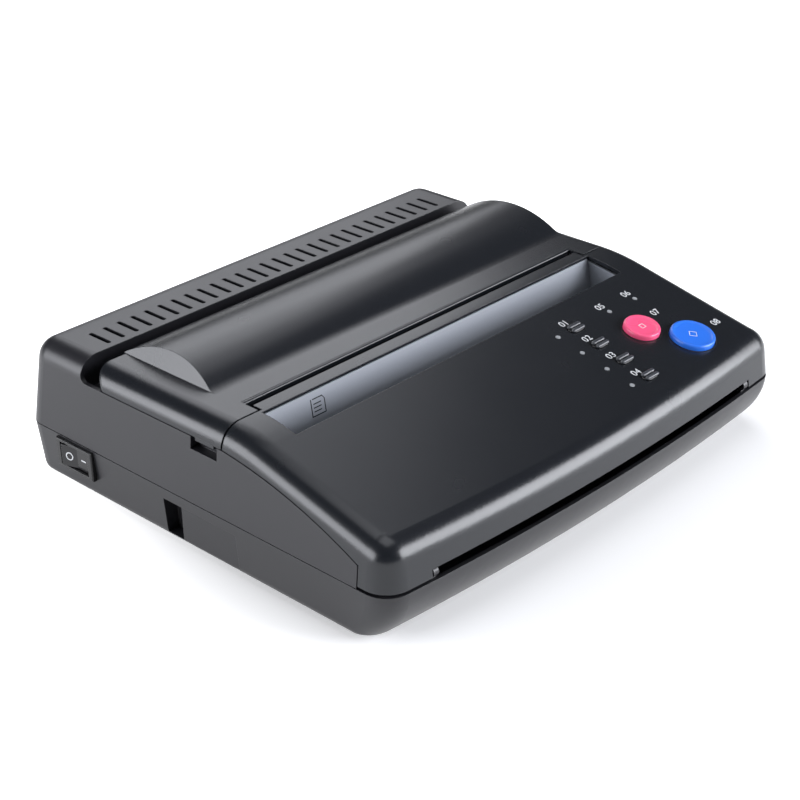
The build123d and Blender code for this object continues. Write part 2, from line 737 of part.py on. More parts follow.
def mode_key(place):
    """Oblong key with a groove along its middle."""
    length, width = mode_key_size
    with BuildSketch() as flange:
        SlotOverall(length + 2 * flange_overhang, width + 2 * flange_overhang)
    stem = key_stem(place, flange.sketch)
    with BuildPart() as key:
        with BuildSketch(slope_plane(*place, flange_top)):
            SlotOverall(length, width)
        extrude(amount=mode_key_rise - flange_top)
        fillet(key.faces().sort_by(Axis.Z)[-1].edges(), 0.5)
        with BuildSketch(slope_plane(*place, mode_key_rise + 0.5)):
            Rectangle(length + 2, 1.2)
        extrude(amount=-1.2, mode=Mode.SUBTRACT)
        add(stem)
    return key.part


save(round_key(copy_place, copy_radius), "copy_button")
save(round_key(stop_place, stop_radius), "stop_button")
for index, place in enumerate(mode_key_places):
    save(mode_key(place), f"mode_key_{index + 1}")

lamp_base = -(board_depth - 0.1)
with BuildPart() as indicator_lenses:
    for place in lamp_places:
        with BuildSketch(slope_plane(*place, lamp_base)):
            Circle(lamp_radius)
        extrude(amount=0.2 - lamp_base)
save(indicator_lenses.part, "indicator_lenses")

board_mid = ((board_x[0] + board_x[1]) / 2, (board_y[0] + board_y[1]) / 2)
with BuildPart() as control_board:
    with BuildSketch(slope_plane(*board_mid, -board_depth)):
        Rectangle(board_x[1] - board_x[0], (board_y[1] - board_y[0]) / cos(radians(slope_angle)))
    extrude(amount=-board_thickness)
    for place in board_bosses:
        with BuildSketch(slope_plane(*place, -board_depth + 1)):
            Circle(panel_screw_radius + pin_clearance)
        extrude(amount=-3 * board_thickness, mode=Mode.SUBTRACT)
save(control_board.part, "control_board")

with BuildPart() as tact_switches:
    for place in [copy_place, stop_place] + mode_key_places:
        with BuildSketch(slope_plane(*place, -board_depth)):
            Rectangle(6, 6)
        extrude(amount=tact_height - 0.8)
        with BuildSketch(slope_plane(*place, -board_depth)):
            Circle(1.7)
        extrude(amount=tact_height)
save(tact_switches.part, "tact_switches")

# ---- rocker switch and mains inlet ----
with BuildPart() as rocker_bezel:
    bezel_x = (-half_width - rocker_bezel_proud, bezel_seat_x)
    body_depth = 16.0
    cavity_depth = 9.5
    margin = press_clearance
    block(
        bezel_x,
        (bezel_y[0] + margin, bezel_y[1] - margin),
        (bezel_z[0] + margin, bezel_z[1] - margin),
    )
    block(
        (bezel_seat_x, bezel_seat_x + body_depth),
        (body_y[0] + margin, body_y[1] - margin),
        (body_z[0] + margin, body_z[1] - margin),
    )
    outer_face = rocker_bezel.faces().sort_by(Axis.X)[0]
    chamfer(outer_face.edges(), 0.5)
    cavity_y = (rocker_y - rocker_cavity_size[0] / 2, rocker_y + rocker_cavity_size[0] / 2)
    cavity_z = (rocker_z - rocker_cavity_size[1] / 2, rocker_z + rocker_cavity_size[1] / 2)
    block((bezel_x[0] - 1, bezel_x[0] + cavity_depth), cavity_y, cavity_z, mode=Mode.SUBTRACT)
    rocker_pivot_x = bezel_x[0] + 4.9
    with Locations((rocker_pivot_x, rocker_y, rocker_z)):
        Cylinder(1.2 + pin_clearance, rocker_body_size[1] + 2, mode=Mode.SUBTRACT)
    for blade_y in (rocker_y - 6, rocker_y + 6):
        block(
            (bezel_seat_x + body_depth, bezel_seat_x + body_depth + 7),
            (blade_y - 2.4, blade_y + 2.4),
            (rocker_z - 0.4, rocker_z + 0.4),
        )
save(rocker_bezel.part, "rocker_bezel")

with BuildPart() as rocker_key:
    half_length = 9.0
    half_height = rocker_cavity_size[1] / 2 - key_clearance
    with BuildSketch(Plane.XY.offset(rocker_z - half_height)):
        with Locations((rocker_pivot_x, rocker_y)):
            Polygon(
                (3.0, half_length - 0.8),
                (-4.6, half_length),
                (-3.4, 0),
                (-4.6, -half_length),
                (3.0, 0.8 - half_length),
                rotation=rocker_tilt,
                align=None,
            )
    extrude(amount=2 * half_height)
    with Locations((rocker_pivot_x, rocker_y, rocker_z)):
        Cylinder(1.2, rocker_body_size[1] - 0.4)
save(rocker_key.part, "rocker_key")

inlet_face_y = back_y + inlet_proud
inlet_cavity_depth = 12.0
inlet_pin_drop = 2.2
with BuildPart() as mains_inlet:
    margin = press_clearance
    block(
        (inlet_span_x[0] + margin, inlet_span_x[1] - margin),
        (inlet_seat_y, inlet_face_y),
        (inlet_span_z[0] + margin, inlet_span_z[1] - margin),
    )
    block(
        (inlet_span_x[0] + inlet_lip + margin, inlet_span_x[1] - inlet_lip - margin),
        (inlet_seat_y - 18, inlet_seat_y),
        (inlet_span_z[0] + 1 + margin, inlet_span_z[1] - 1 - margin),
    )
    lobe_offset = 4.2
    lobe_radius = 3.7
    with BuildSketch(Plane.XZ.offset(-inlet_face_y - 1)):
        with Locations((inlet_x, inlet_z)):
            SlotCenterToCenter(2 * lobe_offset, 2 * lobe_radius)
    extrude(amount=inlet_cavity_depth + 1, mode=Mode.SUBTRACT)
    for side in (-1, 1):
        with BuildSketch(Plane.XZ.offset(inlet_pin_drop - inlet_face_y)):
            with Locations((inlet_x + side * lobe_offset, inlet_z)):
                Circle(1.2)
        extrude(amount=inlet_cavity_depth + 1)
save(mains_inlet.part, "mains_inlet")

# ---- feet and case screws ----
with BuildPart() as rubber_feet:
    for x, y in foot_places:
        for side in (-1, 1):
            with Locations((side * x, y, foot_height / 2)):
                Cylinder(foot_radius, foot_height)
save(rubber_feet.part, "rubber_feet")

with BuildPart() as case_screws:
    for side in (-1, 1):
        for place, reach in ((rear_boss, 19.0), (front_boss, 9.0)):
            shank_bottom = base_z + screw_head_height / 2
            shank_top = seam_z + reach
            with Locations((side * place[0], place[1], (shank_bottom + shank_top) / 2)):
                Cylinder(screw_radius, shank_top - shank_bottom)
            with Locations((side * place[0], place[1], base_z + screw_head_height / 2)):
                Cylinder(screw_head_radius, screw_head_height - 0.4)
save(case_screws.part, "case_screws")

# ---- gear train places ----
def along(start, distance, bearing):
    """Point at a distance and bearing (degrees from +Y towards +Z) from another in the YZ plane."""
    angle = radians(bearing)
    return (start[0] + distance * cos(angle), start[1] + distance * sin(angle))


def mesh_distance(teeth_a, teeth_b):
    return gear_module * (teeth_a + teeth_b) / 2


def mesh_phase(centre, teeth, phase, other, other_teeth):
    """Phase at which the other gear's gap faces this gear's tooth on their line of centres."""
    bearing = degrees(atan2(other[1] - centre[1], other[0] - centre[0]))
    share = ((bearing - phase) * teeth / 360) % 1
    return bearing + 180 - (0.5 - share) * 360 / other_teeth


def cross_point(start, start_reach, end, end_reach):
    """Point at given distances from two others, on the lower side of the line between them."""
    span = hypot(end[0] - start[0], end[1] - start[1])
    foot = (start_reach**2 - end_reach**2 + span**2) / (2 * span)
    rise = sqrt(start_reach**2 - foot**2)
    unit = ((end[0] - start[0]) / span, (end[1] - start[1]) / span)
    return (start[0] + foot * unit[0] - rise * unit[1], start[1] + foot * unit[1] + rise * unit[0])


print_idler_axis = along(platen_axis, mesh_distance(platen_teeth, print_idler_teeth), print_idler_bearing)
print_pinion_axis = along(
    print_idler_axis, mesh_distance(print_idler_teeth, pinion_teeth), print_pinion_bearing
)
feed_idler_axis = along(feed_axis, mesh_distance(feed_teeth, feed_idler_teeth), feed_idler_bearing)
feed_pinion_axis = along(
    feed_idler_axis, mesh_distance(feed_idler_teeth, pinion_teeth), feed_pinion_bearing
)
transfer_axis = cross_point(
    feed_axis,
    mesh_distance(feed_teeth, transfer_teeth),
    exit_axis,
    mesh_distance(transfer_teeth, exit_teeth),
)
white_axis = along(transfer_axis, mesh_distance(transfer_teeth, white_teeth), 90)
feed_radius = paper_z - paper_gap - feed_axis[1]
exit_radius = paper_z - paper_gap - exit_axis[1]
scanner_top_z = paper_z - 1.0
white_radius = white_axis[1] - scanner_top_z - 0.7

platen_phase = 0.0
print_idler_phase = mesh_phase(platen_axis, platen_teeth, platen_phase, print_idler_axis, print_idler_teeth)
print_pinion_phase = mesh_phase(
    print_idler_axis, print_idler_teeth, print_idler_phase, print_pinion_axis, pinion_teeth
)
feed_phase = 0.0
feed_idler_phase = mesh_phase(feed_axis, feed_teeth, feed_phase, feed_idler_axis, feed_idler_teeth)
feed_pinion_phase = mesh_phase(
    feed_idler_axis, feed_idler_teeth, feed_idler_phase, feed_pinion_axis, pinion_teeth
)
transfer_phase = mesh_phase(feed_axis, feed_teeth, feed_phase, transfer_axis, transfer_teeth)
exit_phase = mesh_phase(transfer_axis, transfer_teeth, transfer_phase, exit_axis, exit_teeth)
white_phase = mesh_phase(transfer_axis, transfer_teeth, transfer_phase, white_axis, white_teeth)


def gear(centre, teeth, phase, bore):
    """Spur gear on an axis along X, with backlash in its teeth."""
    pitch_radius = gear_module * teeth / 2
    root_radius = pitch_radius - 1.25 * gear_module
    tooth_height = 2.1 * gear_module
    half_pitch_tooth = 0.42 * pi * gear_module / 2
    flank_slope = tan(radians(20))
    half_root = half_pitch_tooth + 1.25 * gear_module * flank_slope
    half_tip = half_pitch_tooth - 0.85 * gear_module * flank_slope
    embed = 0.3
    with BuildPart() as wheel:
        with BuildSketch(Plane.YZ.offset(gear_x)):
            with Locations(centre):
                Circle(root_radius)
                with PolarLocations(root_radius - embed, teeth, start_angle=phase):
                    Polygon(
                        (0, -half_root),
                        (tooth_height + embed, -half_tip),
                        (tooth_height + embed, half_tip),
                        (0, half_root),
                        align=None,
                    )
                Circle(bore, mode=Mode.SUBTRACT)
        extrude(amount=gear_width)
    return wheel.part


gear_bore = shaft_radius + press_clearance
idler_bore = stud_radius + shaft_clearance
for name, centre, teeth, phase, bore in (
    ("platen_gear", platen_axis, platen_teeth, platen_phase, gear_bore),
    ("print_idler", print_idler_axis, print_idler_teeth, print_idler_phase, idler_bore),
    ("feed_gear", feed_axis, feed_teeth, feed_phase, gear_bore),
    ("feed_idler", feed_idler_axis, feed_idler_teeth, feed_idler_phase, idler_bore),
    ("transfer_idler", transfer_axis, transfer_teeth, transfer_phase, idler_bore),
    ("exit_gear", exit_axis, exit_teeth, exit_phase, gear_bore),
    ("white_gear", white_axis, white_teeth, white_phase, gear_bore),
):
    save(gear(centre, teeth, phase, bore), name)

motor_bore_depth = 8.0
for name, centre, phase in (
    ("print_pinion", print_pinion_axis, print_pinion_phase),
    ("feed_pinion", feed_pinion_axis, feed_pinion_phase),
):
    with BuildPart() as pinion:
        add(gear(centre, pinion_teeth, phase, motor_shaft_radius))
        rod((frame_inner_x - motor_bore_depth + 0.5, gear_x + gear_width), centre, motor_shaft_radius)
    save(pinion.part, name)

# ---- motors, fixed to the inner face of the right frame ----
motor_depths = {"print_motor": 15.0, "feed_motor": 18.0}
for name, centre, radius in (
    ("print_motor", print_pinion_axis, print_motor_radius),
    ("feed_motor", feed_pinion_axis, feed_motor_radius),
):
    with BuildPart() as motor:
        rod((frame_inner_x - motor_depths[name], frame_inner_x), centre, radius)
        fillet(motor.edges().filter_by(GeomType.CIRCLE).sort_by(Axis.X)[0], 1.0)
        rod(
            (frame_inner_x - motor_bore_depth, frame_inner_x + 1),
            centre,
            motor_shaft_radius + pin_clearance,
            mode=Mode.SUBTRACT,
        )
    save(motor.part, name)

# ---- side frames with their bushes and studs ----
shaft_axes = (platen_axis, feed_axis, exit_axis, white_axis)
stud_axes = (print_idler_axis, feed_idler_axis, transfer_axis)
frame_screw_y = (-57.0, 66.0)
frame_foot_depth = 9.0
frame_foot_half_length = 7.0
frame_front = ((-93.0, floor_z), (-104.5, 18.0), (-106.0, 40.0), (-62.0, 45.0))
frame_top = ((-30.0, 60.0), (12.0, 62.0), (30.0, 56.0), (65.0, 56.0))
frame_ear_half_width = 2.5
frame_rear = ((73.0, 50.0), (73.0, floor_z))


def side_frame(side):
    """Steel plate at one side, with bearing holes, a foot flange and the lid's hinge ear."""
    plate_x = sorted((side * frame_inner_x, side * frame_outer_x))
    foot_x = sorted((side * (frame_inner_x - frame_foot_depth), side * frame_outer_x))
    with BuildPart() as frame:
        with BuildSketch(Plane.YZ.offset(plate_x[0])):
            Polygon(
                *frame_front,
                *frame_top,
                (lid_pivot[0] - frame_ear_half_width, lid_pivot[1]),
                (lid_pivot[0] + frame_ear_half_width, lid_pivot[1]),
                *frame_rear,
                align=None,
            )
            with Locations(lid_pivot):
                Circle(ear_radius)
                Circle(pin_radius + pin_clearance, mode=Mode.SUBTRACT)
            with Locations(*shaft_axes):
                Circle(bush_radius, mode=Mode.SUBTRACT)
            if side > 0:
                with Locations(*stud_axes):
                    Circle(stud_radius + press_clearance, mode=Mode.SUBTRACT)
                with Locations(print_pinion_axis, feed_pinion_axis):
                    Circle(bush_radius, mode=Mode.SUBTRACT)
        extrude(amount=frame_thickness)
        for y in frame_screw_y:
            foot_span_y = (y - frame_foot_half_length, y + frame_foot_half_length)
            block(foot_x, foot_span_y, (floor_z, floor_z + frame_thickness))
            with Locations((side * (frame_inner_x - frame_foot_depth / 2), y, floor_z)):
                Cylinder(screw_radius + screw_clearance, 4 * frame_thickness, mode=Mode.SUBTRACT)
    return frame.part


save(side_frame(-1), "left_side_frame")
save(side_frame(1), "right_side_frame")

bush_flange = 1.0
with BuildPart() as shaft_bushes:
    for side in (-1, 1):
        tube = sorted((side * (frame_inner_x - bush_flange), side * (frame_outer_x + 0.6)))
        flange = sorted((side * (frame_inner_x - bush_flange), side * (frame_inner_x - 0.02)))
        for axis in shaft_axes:
            rod(tube, axis, bush_radius - shaft_clearance)
            rod(flange, axis, bush_radius + 1.1)
            rod(tube, axis, shaft_radius + shaft_clearance, mode=Mode.SUBTRACT)
save(shaft_bushes.part, "shaft_bushes")

with BuildPart() as idler_studs:
    for axis in stud_axes:
        rod((frame_inner_x, gear_x + gear_width + 0.3), axis, stud_radius)
        rod((gear_x + gear_width + 0.3, gear_x + gear_width + 1.1), axis, stud_radius + 0.9)
save(idler_studs.part, "idler_studs")

# ---- shafts and rollers ----
shaft_left_x = -(frame_outer_x + 1.2)
shaft_right_x = gear_x + gear_width + 0.4
for name, axis in (("platen_shaft", platen_axis), ("feed_shaft", feed_axis), ("exit_shaft", exit_axis)):
    with BuildPart() as shaft:
        rod((shaft_left_x, shaft_right_x), axis, shaft_radius)
    save(shaft.part, name)

sleeve_bore = shaft_radius + press_clearance
full_sleeve = ((-roller_half_length, roller_half_length),)
feed_sleeves = ((-34.0, -14.0), (14.0, 34.0))
exit_sleeves = ((-96.0, -80.0), (-40.0, -24.0), (24.0, 40.0), (80.0, 96.0))
for name, axis, radius, sleeves in (
    ("platen_rubber", platen_axis, platen_radius, full_sleeve),
    ("feed_rubber", feed_axis, feed_radius, feed_sleeves),
    ("exit_rubbers", exit_axis, exit_radius, exit_sleeves),
):
    with BuildPart() as rubber:
        for sleeve in sleeves:
            rod(sleeve, axis, radius)
            rod(sleeve, axis, sleeve_bore, mode=Mode.SUBTRACT)
    save(rubber.part, name)

with BuildPart() as white_roller:
    rod((shaft_left_x, shaft_right_x), white_axis, shaft_radius)
    rod(full_sleeve[0], white_axis, white_radius)
save(white_roller.part, "white_roller")

with BuildPart() as pinch_shaft:
    rod((-pinch_ear_x[1] - 0.6, pinch_ear_x[1] + 0.6), pinch_axis, pinch_shaft_radius)
save(pinch_shaft.part, "pinch_shaft")
with BuildPart() as pinch_rollers:
    for sleeve in exit_sleeves:
        rod(sleeve, pinch_axis, pinch_radius)
        rod(sleeve, pinch_axis, pinch_shaft_radius + press_clearance, mode=Mode.SUBTRACT)
save(pinch_rollers.part, "pinch_rollers")

# ---- hinge pins ----
with BuildPart() as lid_hinge_pins:
    for side in (-1, 1):
        pin_x = sorted((side * (frame_inner_x - 1), side * (lug_x[1] + 1)))
        rod(pin_x, lid_pivot, pin_radius)
save(lid_hinge_pins.part, "lid_hinge_pins")
with BuildPart() as panel_hinge_pins:
    for side in (-1, 1):
        rod(sorted((side * knuckle_x[0], side * panel_lug_x[1])), panel_pivot, panel_pin_radius)
save(panel_hinge_pins.part, "panel_hinge_pins")

# ---- scanner below the paper path ----
scanner_end_wall = 3.0
scanner_half_length = roller_half_length + scanner_end_wall
scanner_width = 16.0
scanner_y = (white_axis[0] - scanner_width / 2, white_axis[0] + scanner_width / 2)
scanner_bottom_z = 15.0
glass_thickness = 0.8
glass_margin = 3.0
bracket_half_length = frame_inner_x - 0.3
with BuildPart() as scanner_bar:
    block((-scanner_half_length, scanner_half_length), scanner_y, (scanner_bottom_z, scanner_top_z))
    chamfer(scanner_bar.edges().filter_by(Axis.X).group_by(Axis.Z)[-1], 1.0)
    block(
        (-roller_half_length, roller_half_length),
        (scanner_y[0] + glass_margin, scanner_y[1] - glass_margin),
        (scanner_top_z - glass_thickness, scanner_top_z + 1),
        mode=Mode.SUBTRACT,
    )
save(scanner_bar.part, "scanner_bar")
with BuildPart() as scanner_glass:
    block(
        (press_clearance - roller_half_length, roller_half_length - press_clearance),
        (
            scanner_y[0] + glass_margin + press_clearance,
            scanner_y[1] - glass_margin - press_clearance,
        ),
        (scanner_top_z - glass_thickness, scanner_top_z),
    )
save(scanner_glass.part, "scanner_glass")
bracket_x = (-bracket_half_length, bracket_half_length)
bracket_sheet = 1.2
bracket_lip = 4.0
with BuildPart() as scanner_bracket:
    bracket_bottom_z = scanner_bottom_z - bracket_sheet
    block(bracket_x, scanner_y, (bracket_bottom_z, scanner_bottom_z))
    for lip_y in (scanner_y[0] - bracket_sheet, scanner_y[1]):
        block(bracket_x, (lip_y, lip_y + bracket_sheet), (bracket_bottom_z, scanner_bottom_z + bracket_lip))
save(scanner_bracket.part, "scanner_bracket")

# ---- thermal head below the platen ----
head_gap = 0.3
head_thickness = 1.8
head_top_z = platen_axis[1] - platen_radius - head_gap
head_y = (platen_axis[0] - 8.0, platen_axis[0] + 6.0)
heater_width = 1.6
heater_rise = 0.2
sink_thickness = 4.0
sink_overhang = 3.0
sink_half_length = roller_half_length + sink_overhang
sink_y = (head_y[0] - 4.0, head_y[1] + 2.0)
fin_half_length = 60.0
fin_height = 2.0
fin_thickness = 0.8
fin_count = 4
spring_base_z = 30.0
spring_x = (-70.0, 70.0)
spring_radius = 3.2
spring_wire = 0.45
spring_turns = 5
sink_top_z = head_top_z - head_thickness
sink_bottom_z = sink_top_z - sink_thickness
with BuildPart() as thermal_head:
    block((-roller_half_length, roller_half_length), head_y, (sink_top_z, head_top_z))
    heater_x = (wall - roller_half_length, roller_half_length - wall)
    heater_y = (platen_axis[0] - heater_width / 2, platen_axis[0] + heater_width / 2)
    block(heater_x, heater_y, (head_top_z, head_top_z + heater_rise))
save(thermal_head.part, "thermal_head")
with BuildPart() as head_heat_sink:
    block((-sink_half_length, sink_half_length), sink_y, (sink_bottom_z, sink_top_z))
    fin_pitch = (sink_y[1] - sink_y[0] - 2 * fin_thickness) / (fin_count - 1)
    for index in range(fin_count):
        fin_y = sink_y[0] + fin_thickness / 2 + index * fin_pitch
        fin_z = (sink_bottom_z - fin_height, sink_bottom_z)
        block((-fin_half_length, fin_half_length), (fin_y, fin_y + fin_thickness), fin_z)
save(head_heat_sink.part, "head_heat_sink")
with BuildPart() as head_bracket:
    block(bracket_x, sink_y, (spring_base_z - sheet_thickness, spring_base_z))
    for side in (-1, 1):
        guide_x = sink_half_length + pinch_gap
        guide = sorted((side * guide_x, side * (guide_x + sheet_thickness)))
        block(guide, head_y, (spring_base_z, sink_top_z))
save(head_bracket.part, "head_bracket")
with BuildPart() as head_springs:
    for x in spring_x:
        spring_rise = sink_bottom_z - spring_base_z - 2 * (spring_wire + pin_clearance)
        coil_start = (x, (sink_y[0] + sink_y[1]) / 2, spring_base_z + spring_wire + pin_clearance)
        with BuildLine():
            coil = Helix(spring_rise / spring_turns, spring_rise, spring_radius, center=coil_start)
        with BuildSketch(Plane(origin=coil @ 0, z_dir=coil % 0)):
            Circle(spring_wire)
        sweep(path=coil)
save(head_springs.part, "head_springs")

# ---- paper guides ----


def sheet_guide(points, descent_end, thickness, half_length):
    """Sheet that drops from the first point to the second, then curves to level at a height."""
    with BuildPart() as guide:
        with BuildSketch(Plane.YZ):
            with BuildLine() as path:
                drop = Line(points[0], points[1])
                descent = degrees(atan2(points[0][1] - points[1][1], points[0][0] - points[1][0]))
                bend_radius = (points[1][1] - descent_end[1]) / (1 - cos(radians(descent)))
                bend = JernArc(points[1], drop % 1, bend_radius, -descent)
                Line(bend @ 1, descent_end)
            trace(path.line, thickness)
        extrude(amount=half_length, both=True)
    return guide.part


document_sheet = 1.8
document_bend_z = 48.0
document_lean = 3.1
document_top_y = window_rear_y - pinch_gap + document_sheet / 2
document_top = (document_top_y, slope_top_at_land - land_edge_thickness - 0.4)
document_bend = (document_top_y - document_lean, document_bend_z)
document_end = (feed_axis[0] + feed_radius + 1.0, paper_z - document_sheet / 2)
document_half_length = window_half_width - 0.4
document_sheet_part = sheet_guide(
    (document_top, document_bend), document_end, document_sheet, document_half_length
)
cheek_thickness = 1.5
cheek_rear_y = window_rear_y + 0.4
cheek_front_y = window_front_y - 2.5
cheek_bottom_z = 45.0
with BuildPart() as document_guide:
    add(document_sheet_part)
    for side in (-1, 1):
        cheek_x = min(side * document_half_length, side * (document_half_length + cheek_thickness))
        with BuildSketch(Plane.YZ.offset(cheek_x)):
            Polygon(
                (cheek_rear_y, cheek_bottom_z),
                (cheek_rear_y, top_z(cheek_rear_y) - wall - 0.6),
                (cheek_front_y, top_z(cheek_front_y) - wall - 0.6),
                (cheek_front_y, cheek_bottom_z),
                align=None,
            )
        extrude(amount=cheek_thickness)
        tab = sorted((side * (document_half_length - 1), side * (frame_inner_x - 0.2)))
        block(tab, (document_end[0] + 3, document_end[0] + 9), (paper_z - 1.6, paper_z - 0.2))
save(document_guide.part, "document_guide")
upper_top_y = window_front_y - 1.7
upper_bend_z = 52.0
upper_lean = 0.6
upper_paper_gap = 5.6
upper_reach = 2.0
upper_top = (upper_top_y, top_z(upper_top_y) - wall - 0.6)
upper_bend = (upper_top_y - upper_lean, upper_bend_z)
upper_end = (document_end[0] - upper_reach, paper_z + upper_paper_gap)
save(
    sheet_guide((upper_top, upper_bend), upper_end, sheet_thickness, roller_half_length),
    "upper_document_guide",
)

tray_rear = (ridge_front_y - 0.4, 55.0)
tray_mid = (60.0, 50.0)
tray_front = (head_y[1] + 2.6, head_top_z + 0.2)
with BuildPart() as stencil_tray:
    with BuildSketch(Plane.YZ):
        with BuildLine() as tray_path:
            Polyline(tray_rear, tray_mid, tray_front)
        trace(tray_path.line, sheet_thickness)
    extrude(amount=guide_half_length, both=True)
    for side in (-1, 1):
        tab = sorted((side * guide_half_length, side * (frame_inner_x - 0.2)))
        block(tab, (tray_mid[0] - 10, tray_mid[0] - 2), (tray_mid[1] - 2.4, tray_mid[1] - 1.0))
save(stencil_tray.part, "stencil_tray")

deflector_y = (land_rear_y - 2.2, land_rear_y - 1.0)
deflector_bottom_z = 38.0
deflector_tab_z = (42.0, 43.2)
with BuildPart() as stencil_deflector:
    deflector_top = slope_top_at_land - wall - 0.6
    block((-guide_half_length, guide_half_length), deflector_y, (deflector_bottom_z, deflector_top))
    for side in (-1, 1):
        tab = sorted((side * guide_half_length, side * (frame_inner_x - 0.2)))
        block(tab, (deflector_y[0], deflector_y[1] + 6), deflector_tab_z)
save(stencil_deflector.part, "stencil_deflector")

# ---- circuit boards in the base ----
board_base_z = floor_z + 4.0
main_board_x = (-roller_half_length, 94.0 - roller_half_length)
main_board_y = (26.0, 96.0)
power_board_x = (0.0, 98.0)
power_board_y = (62.0, 104.0)


def circuit_board(board_span_x, board_span_y, components):
    """Board on four standoffs, with its components as raised blocks."""
    with BuildPart() as board:
        block(board_span_x, board_span_y, (board_base_z, board_base_z + board_thickness))
        for x in (board_span_x[0] + 4, board_span_x[1] - 4):
            for y in (board_span_y[0] + 4, board_span_y[1] - 4):
                with Locations((x, y, (floor_z + board_base_z) / 2)):
                    Cylinder(2.6, board_base_z - floor_z)
                with Locations((x, y, board_base_z)):
                    Cylinder(1.25, 4 * board_base_z, mode=Mode.SUBTRACT)
        for across, along_y, length, width, height in components:
            x = board_span_x[0] + across
            y = board_span_y[0] + along_y
            top = board_base_z + board_thickness
            block((x, x + length), (y, y + width), (top, top + height))
    return board.part


main_components = (
    (16.0, 24.0, 22.0, 22.0, 2.2),
    (48.0, 34.0, 14.0, 14.0, 1.8),
    (48.0, 10.0, 20.0, 8.0, 7.0),
    (74.0, 14.0, 7.0, 24.0, 7.0),
    (8.0, 58.0, 26.0, 7.0, 8.0),
    (72.0, 50.0, 10.0, 10.0, 12.0),
)
power_components = (
    (10.0, 8.0, 8.0, 24.0, 14.0),
    (72.0, 12.0, 16.0, 12.0, 14.0),
    (72.0, 29.0, 20.0, 6.0, 20.0),
)
save(circuit_board(main_board_x, main_board_y, main_components), "main_board")
save(circuit_board(power_board_x, power_board_y, power_components), "power_board")

core_place = (28.0, 8.0)
core_size = (32.0, 26.0)
with BuildPart() as transformer:
    core_x = (power_board_x[0] + core_place[0], power_board_x[0] + core_place[0] + core_size[0])
    core_y = (power_board_y[0] + core_place[1], power_board_y[0] + core_place[1] + core_size[1])
    core_bottom = board_base_z + board_thickness
    block(core_x, core_y, (core_bottom, core_bottom + 20))
    block((core_x[0] + 5, core_x[1] - 5), (core_y[0] - 3, core_y[1] + 3), (core_bottom, core_bottom + 16))
save(transformer.part, "transformer")

# ---- inner screws: board screws in the standoffs, frame screws in the floor ----
with BuildPart() as inner_screws:
    top = board_base_z + board_thickness
    for board_span_x, board_span_y in ((main_board_x, main_board_y), (power_board_x, power_board_y)):
        for x in (board_span_x[0] + 4, board_span_x[1] - 4):
            for y in (board_span_y[0] + 4, board_span_y[1] - 4):
                with Locations((x, y, top - 2.5)):
                    Cylinder(1.2, 5.0)
                with Locations((x, y, top + 0.8)):
                    Cylinder(2.4, 1.6)
    for side in (-1, 1):
        for y in frame_screw_y:
            x = side * (frame_inner_x - frame_foot_depth / 2)
            with Locations((x, y, floor_z + frame_thickness / 2)):
                Cylinder(screw_radius, frame_thickness)
            with Locations((x, y, floor_z + frame_thickness + 0.8)):
                Cylinder(screw_head_radius, 1.6)
save(inner_screws.part, "inner_screws")

with BuildPart() as board_screws:
    for place in board_bosses:
        with BuildSketch(slope_plane(*place, -board_depth - board_thickness - 1.4)):
            Circle(2.0)
        extrude(amount=1.4)
        with BuildSketch(slope_plane(*place, -board_depth - board_thickness)):
            Circle(panel_screw_radius)
        extrude(amount=board_thickness + 4.0)
save(board_screws.part, "board_screws")
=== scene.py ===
import json
import math

import bmesh
import bpy
from mathutils import Matrix, Vector


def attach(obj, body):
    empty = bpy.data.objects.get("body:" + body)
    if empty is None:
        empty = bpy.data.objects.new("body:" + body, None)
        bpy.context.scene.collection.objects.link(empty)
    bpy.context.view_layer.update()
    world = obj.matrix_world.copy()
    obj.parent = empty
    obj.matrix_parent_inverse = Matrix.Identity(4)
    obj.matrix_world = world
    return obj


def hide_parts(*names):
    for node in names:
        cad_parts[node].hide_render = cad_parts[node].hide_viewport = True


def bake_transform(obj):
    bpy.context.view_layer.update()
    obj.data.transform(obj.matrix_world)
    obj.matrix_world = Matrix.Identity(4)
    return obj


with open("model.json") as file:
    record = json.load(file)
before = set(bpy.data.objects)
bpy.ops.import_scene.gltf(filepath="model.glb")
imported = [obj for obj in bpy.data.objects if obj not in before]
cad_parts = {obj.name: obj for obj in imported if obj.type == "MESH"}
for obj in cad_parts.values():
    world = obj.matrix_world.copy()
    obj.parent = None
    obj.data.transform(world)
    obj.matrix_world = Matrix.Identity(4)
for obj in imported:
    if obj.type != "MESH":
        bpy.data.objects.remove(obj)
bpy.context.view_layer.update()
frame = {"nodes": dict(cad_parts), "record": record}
nodes = frame["nodes"]
print("frame loaded:", len(nodes), "nodes")

mm = 0.001

# the machine's sides, in millimetres, as the CAD has them before its middle is brought over the origin
machine = {
    "middleY": 2.7,
    "deckZ": 70.2,
    "slopeStartY": -12.0,
    "slopeRadius": 106.0,
    "slopeAngle": 13.3,
}


def slopeZ(y):
    # height of the straight part of the panel at a distance y
    angle = math.radians(machine["slopeAngle"])
    endY = machine["slopeStartY"] - machine["slopeRadius"] * math.sin(angle)
    endZ = machine["deckZ"] - machine["slopeRadius"] * (1 - math.cos(angle))
    return endZ - (endY - y) * math.tan(angle)


def inFrame(x, y, z):
    # a point in the CAD's millimetres to the frame's metres
    return Vector((x, y - machine["middleY"], z)) * mm


def basis(origin, across, up):
    # matrix that lays a piece drawn flat in millimetres on the plane of two directions
    across = Vector(across).normalized()
    out = across.cross(Vector(up)).normalized()
    turned = Matrix((across, out.cross(across), out)).transposed().to_4x4()
    return Matrix.Translation(origin) @ turned @ Matrix.Scale(mm, 4)


